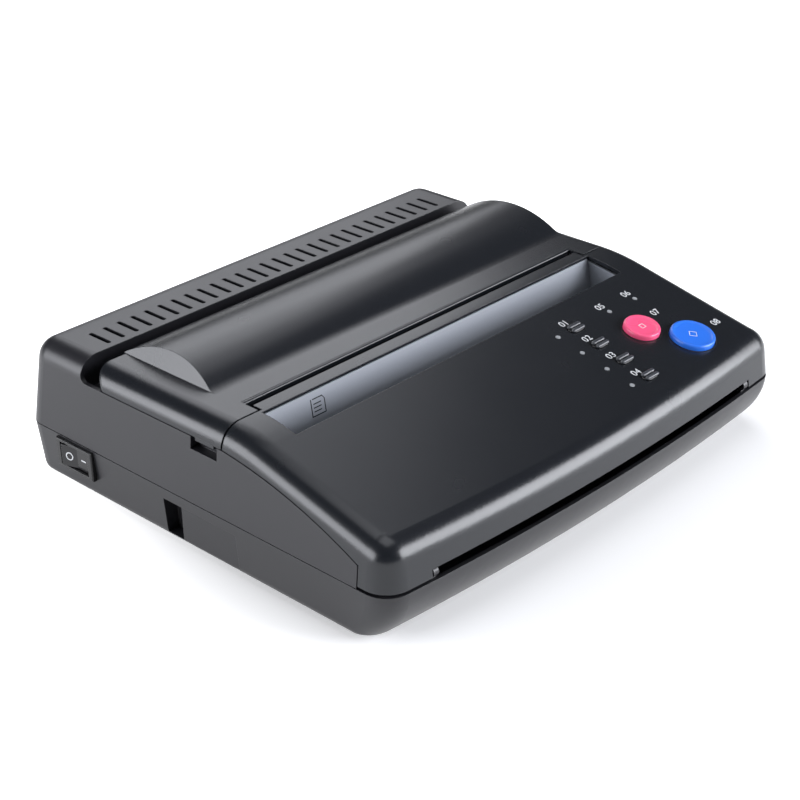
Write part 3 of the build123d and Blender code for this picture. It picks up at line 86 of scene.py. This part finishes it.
def onSlope(x, y):
    # lays a piece that is drawn flat in millimetres on the panel
    tilt = math.radians(machine["slopeAngle"])
    return basis(inFrame(x, y, slopeZ(y)), (1, 0, 0), (0, math.cos(tilt), math.sin(tilt)))


# materials
def linear(hexColour):
    # sRGB hex to the linear colour that a shader takes
    parts = [int(hexColour[i:i + 2], 16) / 255 for i in (1, 3, 5)]
    return tuple(c / 12.92 if c <= 0.04045 else ((c + 0.055) / 1.055) ** 2.4 for c in parts) + (1.0,)


def addNode(tree, kind, settings=None, links=None):
    # one node with its settings and incoming links
    node = tree.nodes.new(kind)
    for name, value in (settings or {}).items():
        if isinstance(name, str) and hasattr(node, name):
            setattr(node, name, value)
        else:
            node.inputs[name].default_value = value
    for name, source in (links or {}).items():
        tree.links.new(source, node.inputs[name])
    return node


def surface(name, look):
    # a surface with rounded edges, a fine grain in its height, and slow drifts of gloss and colour
    material = bpy.data.materials.new(name)
    material.use_nodes = True
    tree = material.node_tree
    shader = tree.nodes["Principled BSDF"]
    for socket, value in look.get("shader", {}).items():
        shader.inputs[socket].default_value = value
    place = addNode(tree, "ShaderNodeTexCoord")
    stretch = addNode(tree, "ShaderNodeMapping", {"Scale": look.get("stretch", (1, 1, 1))},
                      {"Vector": place.outputs["Object"]})
    # a grain in millimetres becomes the scale of the noise, which counts cells per metre
    grain = addNode(tree, "ShaderNodeTexNoise",
                    {"Scale": 1 / (look["grain"] * mm), "Detail": 2.0, "Roughness": 0.6},
                    {"Vector": stretch.outputs["Vector"]})
    patch = addNode(tree, "ShaderNodeTexNoise",
                    {"Scale": 1 / (look.get("patch", 30.0) * mm), "Detail": 2.0},
                    {"Vector": place.outputs["Object"]})
    gloss = addNode(tree, "ShaderNodeMapRange", {"To Min": look["rough"][0], "To Max": look["rough"][1]},
                    {"Value": patch.outputs["Fac"]})
    tint = addNode(tree, "ShaderNodeMix",
                   {"data_type": "RGBA", 6: linear(look["colours"][0]), 7: linear(look["colours"][1])},
                   {0: grain.outputs["Fac"]})
    edge = addNode(tree, "ShaderNodeBevel", {"samples": 4, "Radius": look.get("edge", 0.3) * mm})
    bump = addNode(tree, "ShaderNodeBump",
                   {"Strength": look.get("bump", 0.2), "Distance": look.get("depth", 0.02) * mm},
                   {"Height": grain.outputs["Fac"], "Normal": edge.outputs["Normal"]})
    tree.links.new(tint.outputs[2], shader.inputs["Base Color"])
    tree.links.new(gloss.outputs["Result"], shader.inputs["Roughness"])
    tree.links.new(bump.outputs["Normal"], shader.inputs["Normal"])
    return material


looks = {
    # satin moulded black ABS of the side walls: even, slightly grainy, soft highlights
    "case_side": {"colours": ("#1c1c20", "#242428"), "rough": (0.32, 0.38), "grain": 0.45, "edge": 0.5},
    # semi-gloss moulded black ABS of lid and panel: tighter highlights that drift a little
    "case_top": {"colours": ("#16181c", "#1b1e23"), "rough": (0.24, 0.29),
                 "grain": 0.45, "bump": 0.12, "edge": 0.4},
    # fine-textured moulded black ABS of the base: the dullest of the three
    "base_black": {"colours": ("#1a1a1d", "#212125"), "rough": (0.36, 0.42), "grain": 0.5, "edge": 0.4},
    # matte black rubber of rollers and feet
    "rubber": {"colours": ("#161616", "#1d1d1d"), "rough": (0.7, 0.85), "grain": 0.4, "bump": 0.3},
    # smooth white silicone sleeve
    "roller_white": {"colours": ("#dcdcd6", "#e4e4df"), "rough": (0.45, 0.55), "grain": 0.4},
    # zinc-plated sheet and turned steel, with faint lines along the machine's width
    "steel": {"colours": ("#a8abae", "#b6b9bb"), "rough": (0.28, 0.4), "grain": 0.3, "stretch": (0.1, 1, 1),
              "shader": {"Metallic": 1.0}, "edge": 0.15},
    # black-oxidised steel of the panel's hinge pins
    "black_steel": {"colours": ("#1c1c1e", "#242426"), "rough": (0.4, 0.5),
                    "grain": 0.3, "stretch": (0.1, 1, 1),
                    "shader": {"Metallic": 1.0}, "edge": 0.1},
    # extruded aluminium with drawn lines
    "aluminium": {"colours": ("#c2c4c6", "#cfd1d3"), "rough": (0.3, 0.42),
                  "grain": 0.3, "stretch": (0.1, 1, 1),
                  "shader": {"Metallic": 1.0}, "edge": 0.15},
    # moulded natural acetal of gears and bushes: off-white, waxy
    "acetal": {"colours": ("#d8d5c8", "#e0ddd2"), "rough": (0.3, 0.4), "grain": 0.5, "edge": 0.1,
               "shader": {"Subsurface Weight": 0.15, "Subsurface Scale": 0.002}},
    # dark grey polystyrene of the paper chutes, polished by the mould
    "polystyrene": {"colours": ("#3a3c40", "#404247"), "rough": (0.34, 0.42), "grain": 0.5, "bump": 0.1},
    # lighter grey polystyrene of the chute below the document inlet
    "chute_grey": {"colours": ("#8c9098", "#9398a0"), "rough": (0.4, 0.5), "grain": 0.5, "bump": 0.1},
    # glossy blue key, a clear sheen over the colour
    "blue_key": {"colours": ("#2a6edc", "#2f73e2"), "rough": (0.24, 0.3), "grain": 0.5, "bump": 0.05},
    # glossy pink-red key
    "red_key": {"colours": ("#f2547f", "#f45c86"), "rough": (0.24, 0.3), "grain": 0.5, "bump": 0.05},
    # glossy black plastic of the oblong keys and the switch
    "key_black": {"colours": ("#101012", "#151517"), "rough": (0.2, 0.26),
                  "grain": 0.5, "bump": 0.05, "edge": 0.4},
    # raised ribs of the oblong keys, painted a lighter grey than the key: a painted sheen for the highlights
    # their glossy tops catch
    "key_rib": {"colours": ("#3a3c40", "#44464b"), "rough": (0.16, 0.22),
                "grain": 0.5, "bump": 0.03, "edge": 0.2},
    # translucent grey lamp lenses
    "lens": {"colours": ("#8f9295", "#9a9da0"), "rough": (0.2, 0.3),
             "grain": 0.5, "bump": 0.05, "edge": 0.2},
    # green solder mask with a woven glass core under it
    "circuit_board": {"colours": ("#0f4d2a", "#12592f"), "rough": (0.35, 0.5), "grain": 0.8, "edge": 0.1},
    # matte black housing of the scanner bar and the mains socket
    "scanner_black": {"colours": ("#151517", "#1a1a1c"), "rough": (0.5, 0.6), "grain": 0.4},
    # clear cover glass of the scanner
    "glass": {"colours": ("#d8e0de", "#dfe6e4"), "rough": (0.03, 0.06), "grain": 1.0, "bump": 0.0,
              "shader": {"Transmission Weight": 0.8, "IOR": 1.5}, "edge": 0.1},
    # glazed ceramic of the thermal head
    "ceramic": {"colours": ("#cfc9b8", "#d8d2c2"), "rough": (0.2, 0.3), "grain": 0.6, "edge": 0.1},
}
surfaceNames = {
    "case_side": "satin_black_abs", "case_top": "semi_gloss_black_abs", "base_black": "textured_black_abs",
    "rubber": "black_rubber", "roller_white": "white_silicone", "steel": "zinc_plated_steel",
    "aluminium": "extruded_aluminium", "acetal": "natural_acetal", "black_steel": "black_oxidised_steel",
    "polystyrene": "grey_polystyrene", "chute_grey": "light_grey_polystyrene",
    "blue_key": "blue_abs", "red_key": "pink_red_abs",
    "key_black": "glossy_black_abs", "key_rib": "black_abs_painted_sheen",
    "lens": "frosted_polycarbonate", "circuit_board": "green_fibreglass_board",
    "scanner_black": "matte_black_nylon", "glass": "clear_glass", "ceramic": "glazed_ceramic",
}
materials = {name: surface(surfaceNames[name], look) for name, look in looks.items()}
# white pad-printing ink, slightly worn and dull
ink = surface("white_printing_ink",
              {"colours": ("#d2d4d6", "#e6e8ea"), "rough": (0.5, 0.6), "grain": 0.3, "edge": 0.02})
# painted shade: black for the shade in gaps where two mouldings meet and in the screw heads' recesses; the
# page mark's black print uses it too
shadeAndPrintBlack = surface("black_painted_shade_and_print",
                    {"colours": ("#050506", "#08080a"), "rough": (0.8, 0.9), "grain": 0.4, "edge": 0.02})
slots = {part["node"]: part["material_slot"] for part in frame["record"]["subparts"]}
for name, node in nodes.items():
    node.data.materials.clear()
    node.data.materials.append(materials[slots[name]])
print("materials set:", len(materials))


# pieces drawn in Blender
def finishPiece(name, mesh, material, body):
    # a mesh already in the frame's metres becomes a piece that rides on a CAD body
    data = bpy.data.meshes.new(name)
    mesh.to_mesh(data)
    mesh.free()
    data.materials.append(material)
    piece = bpy.data.objects.new(name, data)
    bpy.context.scene.collection.objects.link(piece)
    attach(piece, body)
    return piece


def addStrip(mesh, corners, thickness):
    # a flat closed shape given as points, raised by a thickness
    base = [mesh.verts.new((x, y, 0)) for x, y in corners]
    face = mesh.faces.new(base)
    raised = bmesh.ops.extrude_face_region(mesh, geom=[face])
    moved = [part for part in raised["geom"] if isinstance(part, bmesh.types.BMVert)]
    bmesh.ops.translate(mesh, verts=moved, vec=(0, 0, thickness))
    bmesh.ops.recalc_face_normals(mesh, faces=mesh.faces)


def addRing(mesh, centre, outer, inner, thickness, steps=40):
    # a flat ring raised by a thickness
    rims = []
    for radius, height in ((inner, 0), (outer, 0), (outer, thickness), (inner, thickness)):
        rim = []
        for step in range(steps):
            angle = math.tau * step / steps
            rim.append(mesh.verts.new((centre[0] + radius * math.cos(angle),
                                       centre[1] + radius * math.sin(angle), height)))
        rims.append(rim)
    for index, rim in enumerate(rims):
        above = rims[(index + 1) % 4]
        for step in range(steps):
            after = (step + 1) % steps
            mesh.faces.new((rim[step], rim[after], above[after], above[step]))
    bmesh.ops.recalc_face_normals(mesh, faces=mesh.faces)


def rectangle(x, y, width, height):
    # corners of an upright rectangle about its middle
    return ((x - width / 2, y - height / 2), (x + width / 2, y - height / 2),
            (x + width / 2, y + height / 2), (x - width / 2, y + height / 2))


numbers = {
    "height": 5.4,
    "lift": 0.03,
    "places": {"01": (51, -50.0), "02": (51, -64.0), "03": (50, -79.0), "04": (49.5, -94.0),
               "05": (77, -51.0), "06": (97, -51.0), "07": (97, -69.0), "08": (116, -91.0)},
}
for label, (x, y) in numbers["places"].items():
    curve = bpy.data.curves.new("number_" + label, "FONT")
    curve.body = label
    curve.size = numbers["height"]
    curve.extrude = numbers["lift"]
    curve.align_x = "CENTER"
    curve.align_y = "CENTER"
    carrier = bpy.data.objects.new("number_" + label, curve)
    bpy.context.scene.collection.objects.link(carrier)
    flat = bpy.data.meshes.new_from_object(carrier.evaluated_get(bpy.context.evaluated_depsgraph_get()))
    mesh = bmesh.new()
    mesh.from_mesh(flat)
    bpy.data.objects.remove(carrier)
    bpy.data.meshes.remove(flat)
    bmesh.ops.transform(mesh, matrix=onSlope(x, y), verts=mesh.verts)
    finishPiece("number_" + label, mesh, ink, "panel")
print("numbers printed:", len(numbers["places"]))

# the round keys: a shallow dish inside a rounded rim, a retaining flange and a stem
keys = {
    "copy_button": {"x": 95.5, "y": -92.0, "radius": 11.0, "material": "blue_key"},
    "stop_button": {"x": 79.5, "y": -74.0, "radius": 9.0, "material": "red_key"},
}
for name, key in keys.items():
    radius = key["radius"]
    dish = [(0, 2.0), (radius * 0.4, 2.02), (radius * 0.66, 2.1), (radius - 2.3, 2.24), (radius - 1.9, 2.34)]
    rim = [(radius - 1.6, 2.5), (radius - 1.3, 2.58), (radius - 1.0, 2.6), (radius - 0.65, 2.52),
           (radius - 0.35, 2.34), (radius - 0.12, 2.0), (radius, 1.5)]
    flange = [(radius, -2.5), (radius + 1.2, -2.5), (radius + 1.2, -3.5)]
    stem = [(2.0, -3.5), (2.0, -4.45), (0, -4.45)]
    mesh = bmesh.new()
    chain = [mesh.verts.new((reach, 0, height)) for reach, height in dish + rim + flange + stem]
    for start, end in zip(chain, chain[1:]):
        mesh.edges.new((start, end))
    bmesh.ops.spin(mesh, geom=list(mesh.verts) + list(mesh.edges), cent=(0, 0, 0), axis=(0, 0, 1),
                   angle=math.tau, steps=96, use_duplicate=False)
    bmesh.ops.remove_doubles(mesh, verts=mesh.verts, dist=0.001)
    bmesh.ops.recalc_face_normals(mesh, faces=mesh.faces)
    for face in mesh.faces:
        face.smooth = True
    for edge in mesh.edges:
        if edge.is_manifold and edge.calc_face_angle(0) > 0.7:
            edge.smooth = False
    bmesh.ops.transform(mesh, matrix=onSlope(key["x"], key["y"]), verts=mesh.verts)
    cap = finishPiece(name + "_cap", mesh, materials[key["material"]], name)
    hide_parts(name)

# painted shade: a black ring on the panel round each round key, where the gap and recess round the key lie in
# shade
for name, key in keys.items():
    mesh = bmesh.new()
    addRing(mesh, (0, 0), key["radius"] + 1.0, key["radius"] + 0.36, 0.04, steps=96)
    bmesh.ops.transform(mesh, matrix=onSlope(key["x"], key["y"]), verts=mesh.verts)
    finishPiece(name + "_ring", mesh, shadeAndPrintBlack, "panel")

# the oblong keys: a base with two rounded ribs along it, a retaining flange and a stem
ribKey = {
    "count": 4, "x": 53.0, "firstY": -55.5, "pitch": 14.5,
    "length": 9.5, "width": 5.4, "ribShorter": 0.7, "ribWidth": 2.2, "ribY": 1.4,
}


def addStadium(mesh, centre, length, width, low, high, rounding=0.0, steps=10):
    # an upright piece with rounded ends, and its top edge rounded
    base = []
    for end in (1, -1):
        for step in range(steps + 1):
            angle = math.pi * (step / steps - 0.5) + (0 if end > 0 else math.pi)
            base.append(mesh.verts.new((centre[0] + end * (length - width) / 2 + width / 2 * math.cos(angle),
                                        centre[1] + width / 2 * math.sin(angle), low)))
    face = mesh.faces.new(base)
    raised = bmesh.ops.extrude_face_region(mesh, geom=[face])["geom"]
    top = [part for part in raised if isinstance(part, bmesh.types.BMVert)]
    bmesh.ops.translate(mesh, verts=top, vec=(0, 0, high - low))
    if rounding:
        rim = [part for part in raised if isinstance(part, bmesh.types.BMEdge)]
        bmesh.ops.bevel(mesh, geom=rim, offset=rounding, segments=4, profile=0.5, affect="EDGES")


for index in range(ribKey["count"]):
    name = "mode_key_" + str(index + 1)
    lay = onSlope(ribKey["x"], ribKey["firstY"] - index * ribKey["pitch"])
    mesh = bmesh.new()
    length, width = ribKey["length"], ribKey["width"]
    addStadium(mesh, (0, 0), length, width, -2.5, 0.5, rounding=0.3)
    addStadium(mesh, (0, 0), length + 2.4, width + 2.4, -3.5, -2.5)
    addStadium(mesh, (0, 0), 4.01, 4.0, -4.45, -3.5)
    bmesh.ops.recalc_face_normals(mesh, faces=mesh.faces)
    bmesh.ops.transform(mesh, matrix=lay, verts=mesh.verts)
    body = finishPiece(name + "_base", mesh, materials["key_black"], name)
    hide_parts(name)
    mesh = bmesh.new()
    for side in (-1, 1):
        # short enough to pass the rounded ends of the key's hole when it is pressed
        addStadium(mesh, (0, side * ribKey["ribY"]), length - ribKey["ribShorter"], ribKey["ribWidth"],
                   0.4, 1.6, rounding=0.7)
    bmesh.ops.recalc_face_normals(mesh, faces=mesh.faces)
    for face in mesh.faces:
        face.smooth = True
    bmesh.ops.transform(mesh, matrix=lay, verts=mesh.verts)
    # the ribs take the lighter grey that paints their sheen
    finishPiece(name + "_ribs", mesh, materials["key_rib"], name)

# plain marks on the two round keys: a square outline and a diamond outline
marks = {
    "stop_mark": {"size": 2.6, "turn": 0.0, "key": "stop_button"},
    "copy_mark": {"size": 3.4, "turn": 45.0, "key": "copy_button"},
}
for name, mark in marks.items():
    mesh = bmesh.new()
    half = mark["size"] / 2
    for side in range(4):
        turn = math.radians(90 * side + mark["turn"])
        corners = [(x * math.cos(turn) - y * math.sin(turn), x * math.sin(turn) + y * math.cos(turn))
                   for x, y in rectangle(0, half, mark["size"] + 0.3, 0.3)]
        addStrip(mesh, corners, 0.05)
    bmesh.ops.translate(mesh, verts=mesh.verts, vec=(0, 0, 2.01))
    key = keys[mark["key"]]
    bmesh.ops.transform(mesh, matrix=onSlope(key["x"], key["y"]), verts=mesh.verts)
    finishPiece(name, mesh, ink, mark["key"])
print("round keys shaped")

# ring and bar printed on the two faces of the rocker
rocker = {
    "pivot": (-132.7, 86.5, 19.8),
    "turn": 8.0,
    "middle": (-3.4, 0.0),
    "ends": {"rocker_ring": (-4.6, 9.0), "rocker_bar": (-4.6, -9.0)},
}
for name, end in rocker["ends"].items():
    turn = Matrix.Rotation(math.radians(rocker["turn"]), 3, "Z")
    inner = turn @ Vector((*rocker["middle"], 0))
    outer = turn @ Vector((*end, 0))
    along = (outer - inner) if end[1] < 0 else (inner - outer)
    centre = Vector(rocker["pivot"]) + (inner + outer) / 2
    mesh = bmesh.new()
    if name == "rocker_ring":
        addRing(mesh, (0, 0), 2.1, 1.55, 0.06)
    else:
        addStrip(mesh, rectangle(0, 0, 3.4, 0.6), 0.06)
    bmesh.ops.transform(mesh, matrix=basis(inFrame(*centre), along, (0, 0, 1)), verts=mesh.verts)
    finishPiece(name, mesh, ink, "rocker")

# page mark printed on the rear wall of the document inlet
chute = {"x": -79.0, "top": (-15.95, 68.5), "bend": (-19.05, 48.0), "half": 0.9, "down": 7.6}
wallUp = (Vector((0, *chute["top"])) - Vector((0, *chute["bend"]))).normalized()
wallOut = Vector((1, 0, 0)).cross(wallUp)
centre = Vector((chute["x"], *chute["top"])) - wallUp * chute["down"] + wallOut * chute["half"]
mesh = bmesh.new()
pageSides = ((0, 4.0, 6.0, 0.5), (0, -4.0, 8.0, 0.5), (-4.0, 0, 0.5, 8.5), (4.0, -1.0, 0.5, 6.5))
pageLines = ((-0.4, 1.6, 4.6, 0.5), (-0.4, -0.2, 4.6, 0.5), (-0.4, -2.0, 4.6, 0.5))
for x, y, width, height in pageSides + pageLines:
    addStrip(mesh, rectangle(x, y, width, height), 0.05)
addStrip(mesh, ((2.8, 4.25), (4.25, 2.3), (4.25, 1.7), (2.4, 4.25)), 0.05)
bmesh.ops.transform(mesh, matrix=basis(inFrame(*centre), (1, 0, 0), wallUp), verts=mesh.verts)
finishPiece("page_mark", mesh, shadeAndPrintBlack, "chassis")

# painted shade: black crosses on the heads of the four case screws, standing for the shade in their cross
# recesses
screws = {"places": ((122.0, 107.0), (126.0, -20.0)), "headZ": 2.18, "length": 3.2, "width": 0.8}
mesh = bmesh.new()
for x, y in screws["places"]:
    for side in (-1, 1):
        spot = inFrame(side * x, y, screws["headZ"])
        part = bmesh.new()
        addStrip(part, rectangle(0, 0, screws["length"], screws["width"]), 0.1)
        addStrip(part, rectangle(0, 0, screws["width"], screws["length"]), 0.1)
        bmesh.ops.transform(part, matrix=Matrix.Translation(spot) @ Matrix.Scale(mm, 4), verts=part.verts)
        carry = bpy.data.meshes.new("recess")
        part.to_mesh(carry)
        part.free()
        mesh.from_mesh(carry)
        bpy.data.meshes.remove(carry)
finishPiece("screw_recess_shade", mesh, shadeAndPrintBlack, "chassis")
print("marks and recesses made")

# the two coil springs under the print head
mesh = bmesh.new()
mesh.from_mesh(nodes["head_springs"].data)
bmesh.ops.remove_doubles(mesh, verts=mesh.verts, dist=0.00001)
data = bpy.data.meshes.new("coil_springs")
mesh.to_mesh(data)
mesh.free()
data.materials.append(materials["steel"])
springs = bpy.data.objects.new("coil_springs", data)
bpy.context.scene.collection.objects.link(springs)
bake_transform(springs)
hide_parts("head_springs")
print("springs set under the head")

# floor, light and camera
studio = {
    "floorSize": 12.0,
    "floorColour": "#f4f4f4",
    # the paper's glow to the camera, low near the machine: a painted shadow round it
    "floorSeenWithPaintedShadow": {"centre": (0.03, -0.06, 0.0), "nearReach": 0.15, "near": 0.2, "farReach": 0.23, "far": 0.9},
    "floorReflected": 0.5,
    "lampColour": "#f7f9ff",
    "worldLevel": 0.06,
    "lamps": {
        "leftBox": {"place": (-1.5, 0.75, 0.45), "aim": (0.0, 0.0, 0.03), "size": (1.6, 0.8), "power": 32.0},
        "rightBox": {"place": (1.0, -1.4, 0.55), "aim": (0.0, -0.05, 0.03),
                     "size": (1.5, 1.0), "power": 56.0},
        "rearBox": {"place": (0.95, 1.45, 0.8), "aim": (0.0, 0.0, 0.05), "size": (1.0, 0.6), "power": 3.8},
        "rearHighBox": {"place": (0.8, 1.2, 1.15), "aim": (0.0, 0.0, 0.05), "size": (1.0, 0.5), "power": 3.0},
        "rearTopBox": {"place": (0.7, 1.0, 1.6), "aim": (0.0, 0.0, 0.05), "size": (1.4, 0.8), "power": 4.6},
        "topBox": {"place": (0.0, -0.1, 1.7), "aim": (0.0, 0.0, 0.0), "size": (1.2, 1.2), "power": 9.0},
    },
}
floorMesh = bmesh.new()
bmesh.ops.create_grid(floorMesh, x_segments=1, y_segments=1, size=studio["floorSize"] / 2)
floorData = bpy.data.meshes.new("floor")
floorMesh.to_mesh(floorData)
floorMesh.free()
floor = bpy.data.objects.new("floor", floorData)
bpy.context.scene.collection.objects.link(floor)
# white paper that keeps the shadow. To the camera its glow is lower near the machine and whiter away from it,
# painting a soft shadow round the machine on top of the real one; reflections see an even part of the
# studio's white
paper = bpy.data.materials.new("white_paper")
paper.use_nodes = True
paperTree = paper.node_tree
paperShader = paperTree.nodes["Principled BSDF"]
paperShader.inputs["Base Color"].default_value = linear(studio["floorColour"])
paperShader.inputs["Roughness"].default_value = 0.9
paperShader.inputs["Emission Color"].default_value = (1, 1, 1, 1)
paperPath = addNode(paperTree, "ShaderNodeLightPath")
seen = studio["floorSeenWithPaintedShadow"]
paperPlace = addNode(paperTree, "ShaderNodeTexCoord")
paperReach = addNode(paperTree, "ShaderNodeVectorMath", {"operation": "DISTANCE", 1: seen["centre"]},
                     {0: paperPlace.outputs["Object"]})
paperGlowWithPaintedShadow = addNode(paperTree, "ShaderNodeMapRange",
                     {"From Min": seen["nearReach"], "From Max": seen["farReach"],
                      "To Min": seen["near"], "To Max": seen["far"]}, {"Value": paperReach.outputs["Value"]})
paperSeen = addNode(paperTree, "ShaderNodeMath", {"operation": "MULTIPLY"},
                    {0: paperPath.outputs["Is Camera Ray"], 1: paperGlowWithPaintedShadow.outputs["Result"]})
paperGlow = addNode(paperTree, "ShaderNodeMath", {"operation": "MULTIPLY_ADD", 1: studio["floorReflected"]},
                    {0: paperPath.outputs["Is Glossy Ray"], 2: paperSeen.outputs["Value"]})
paperTree.links.new(paperGlow.outputs["Value"], paperShader.inputs["Emission Strength"])
# seen from beneath the paper is clear, so that the underside shows
paperSide = addNode(paperTree, "ShaderNodeNewGeometry")
paperClear = addNode(paperTree, "ShaderNodeBsdfTransparent")
paperMix = addNode(paperTree, "ShaderNodeMixShader", None,
                   {0: paperSide.outputs["Backfacing"], 1: paperShader.outputs["BSDF"],
                    2: paperClear.outputs["BSDF"]})
paperTree.links.new(paperMix.outputs["Shader"], paperTree.nodes["Material Output"].inputs["Surface"])
floorData.materials.append(paper)

world = bpy.data.worlds.new("studio")
bpy.context.scene.world = world
world.use_nodes = True
worldTree = world.node_tree
worldTree.nodes["Background"].inputs["Color"].default_value = (1, 1, 1, 1)
worldPath = addNode(worldTree, "ShaderNodeLightPath")
worldLevel = addNode(worldTree, "ShaderNodeMapRange", {"To Min": studio["worldLevel"], "To Max": 1.0},
                     {"Value": worldPath.outputs["Is Camera Ray"]})
worldTree.links.new(worldLevel.outputs["Result"], worldTree.nodes["Background"].inputs["Strength"])

for name, lamp in studio["lamps"].items():
    data = bpy.data.lights.new(name, "AREA")
    data.shape = "RECTANGLE"
    data.size, data.size_y = lamp["size"]
    data.energy = lamp["power"]
    data.color = linear(studio["lampColour"])[:3]
    light = bpy.data.objects.new(name, data)
    light.location = lamp["place"]
    light.rotation_euler = (Vector(lamp["aim"]) - Vector(lamp["place"])).to_track_quat("-Z", "Y").to_euler()
    bpy.context.scene.collection.objects.link(light)

view = {
    "place": (-0.5664, -0.5477, 0.4403),
    "azimuth": -45.62,
    "elevation": 27.76,
    "roll": -1.45,
    "lens": 83.4,
    "sensor": 36.0,
}
azimuth, elevation, roll = (math.radians(view[turn]) for turn in ("azimuth", "elevation", "roll"))
right = Vector((math.cos(azimuth), math.sin(azimuth), 0))
back = Vector((math.sin(azimuth) * math.cos(elevation), -math.cos(azimuth) * math.cos(elevation),
               math.sin(elevation)))
up = back.cross(right)
cameraData = bpy.data.cameras.new("camera")
cameraData.lens = view["lens"]
cameraData.sensor_width = view["sensor"]
camera = bpy.data.objects.new("camera", cameraData)
turned = Matrix((math.cos(roll) * right + math.sin(roll) * up,
                 math.cos(roll) * up - math.sin(roll) * right, back))
camera.matrix_world = Matrix.Translation(view["place"]) @ turned.transposed().to_4x4()
bpy.context.scene.collection.objects.link(camera)
bpy.context.scene.camera = camera
bpy.context.scene.view_settings.view_transform = "Standard"
print("studio ready")
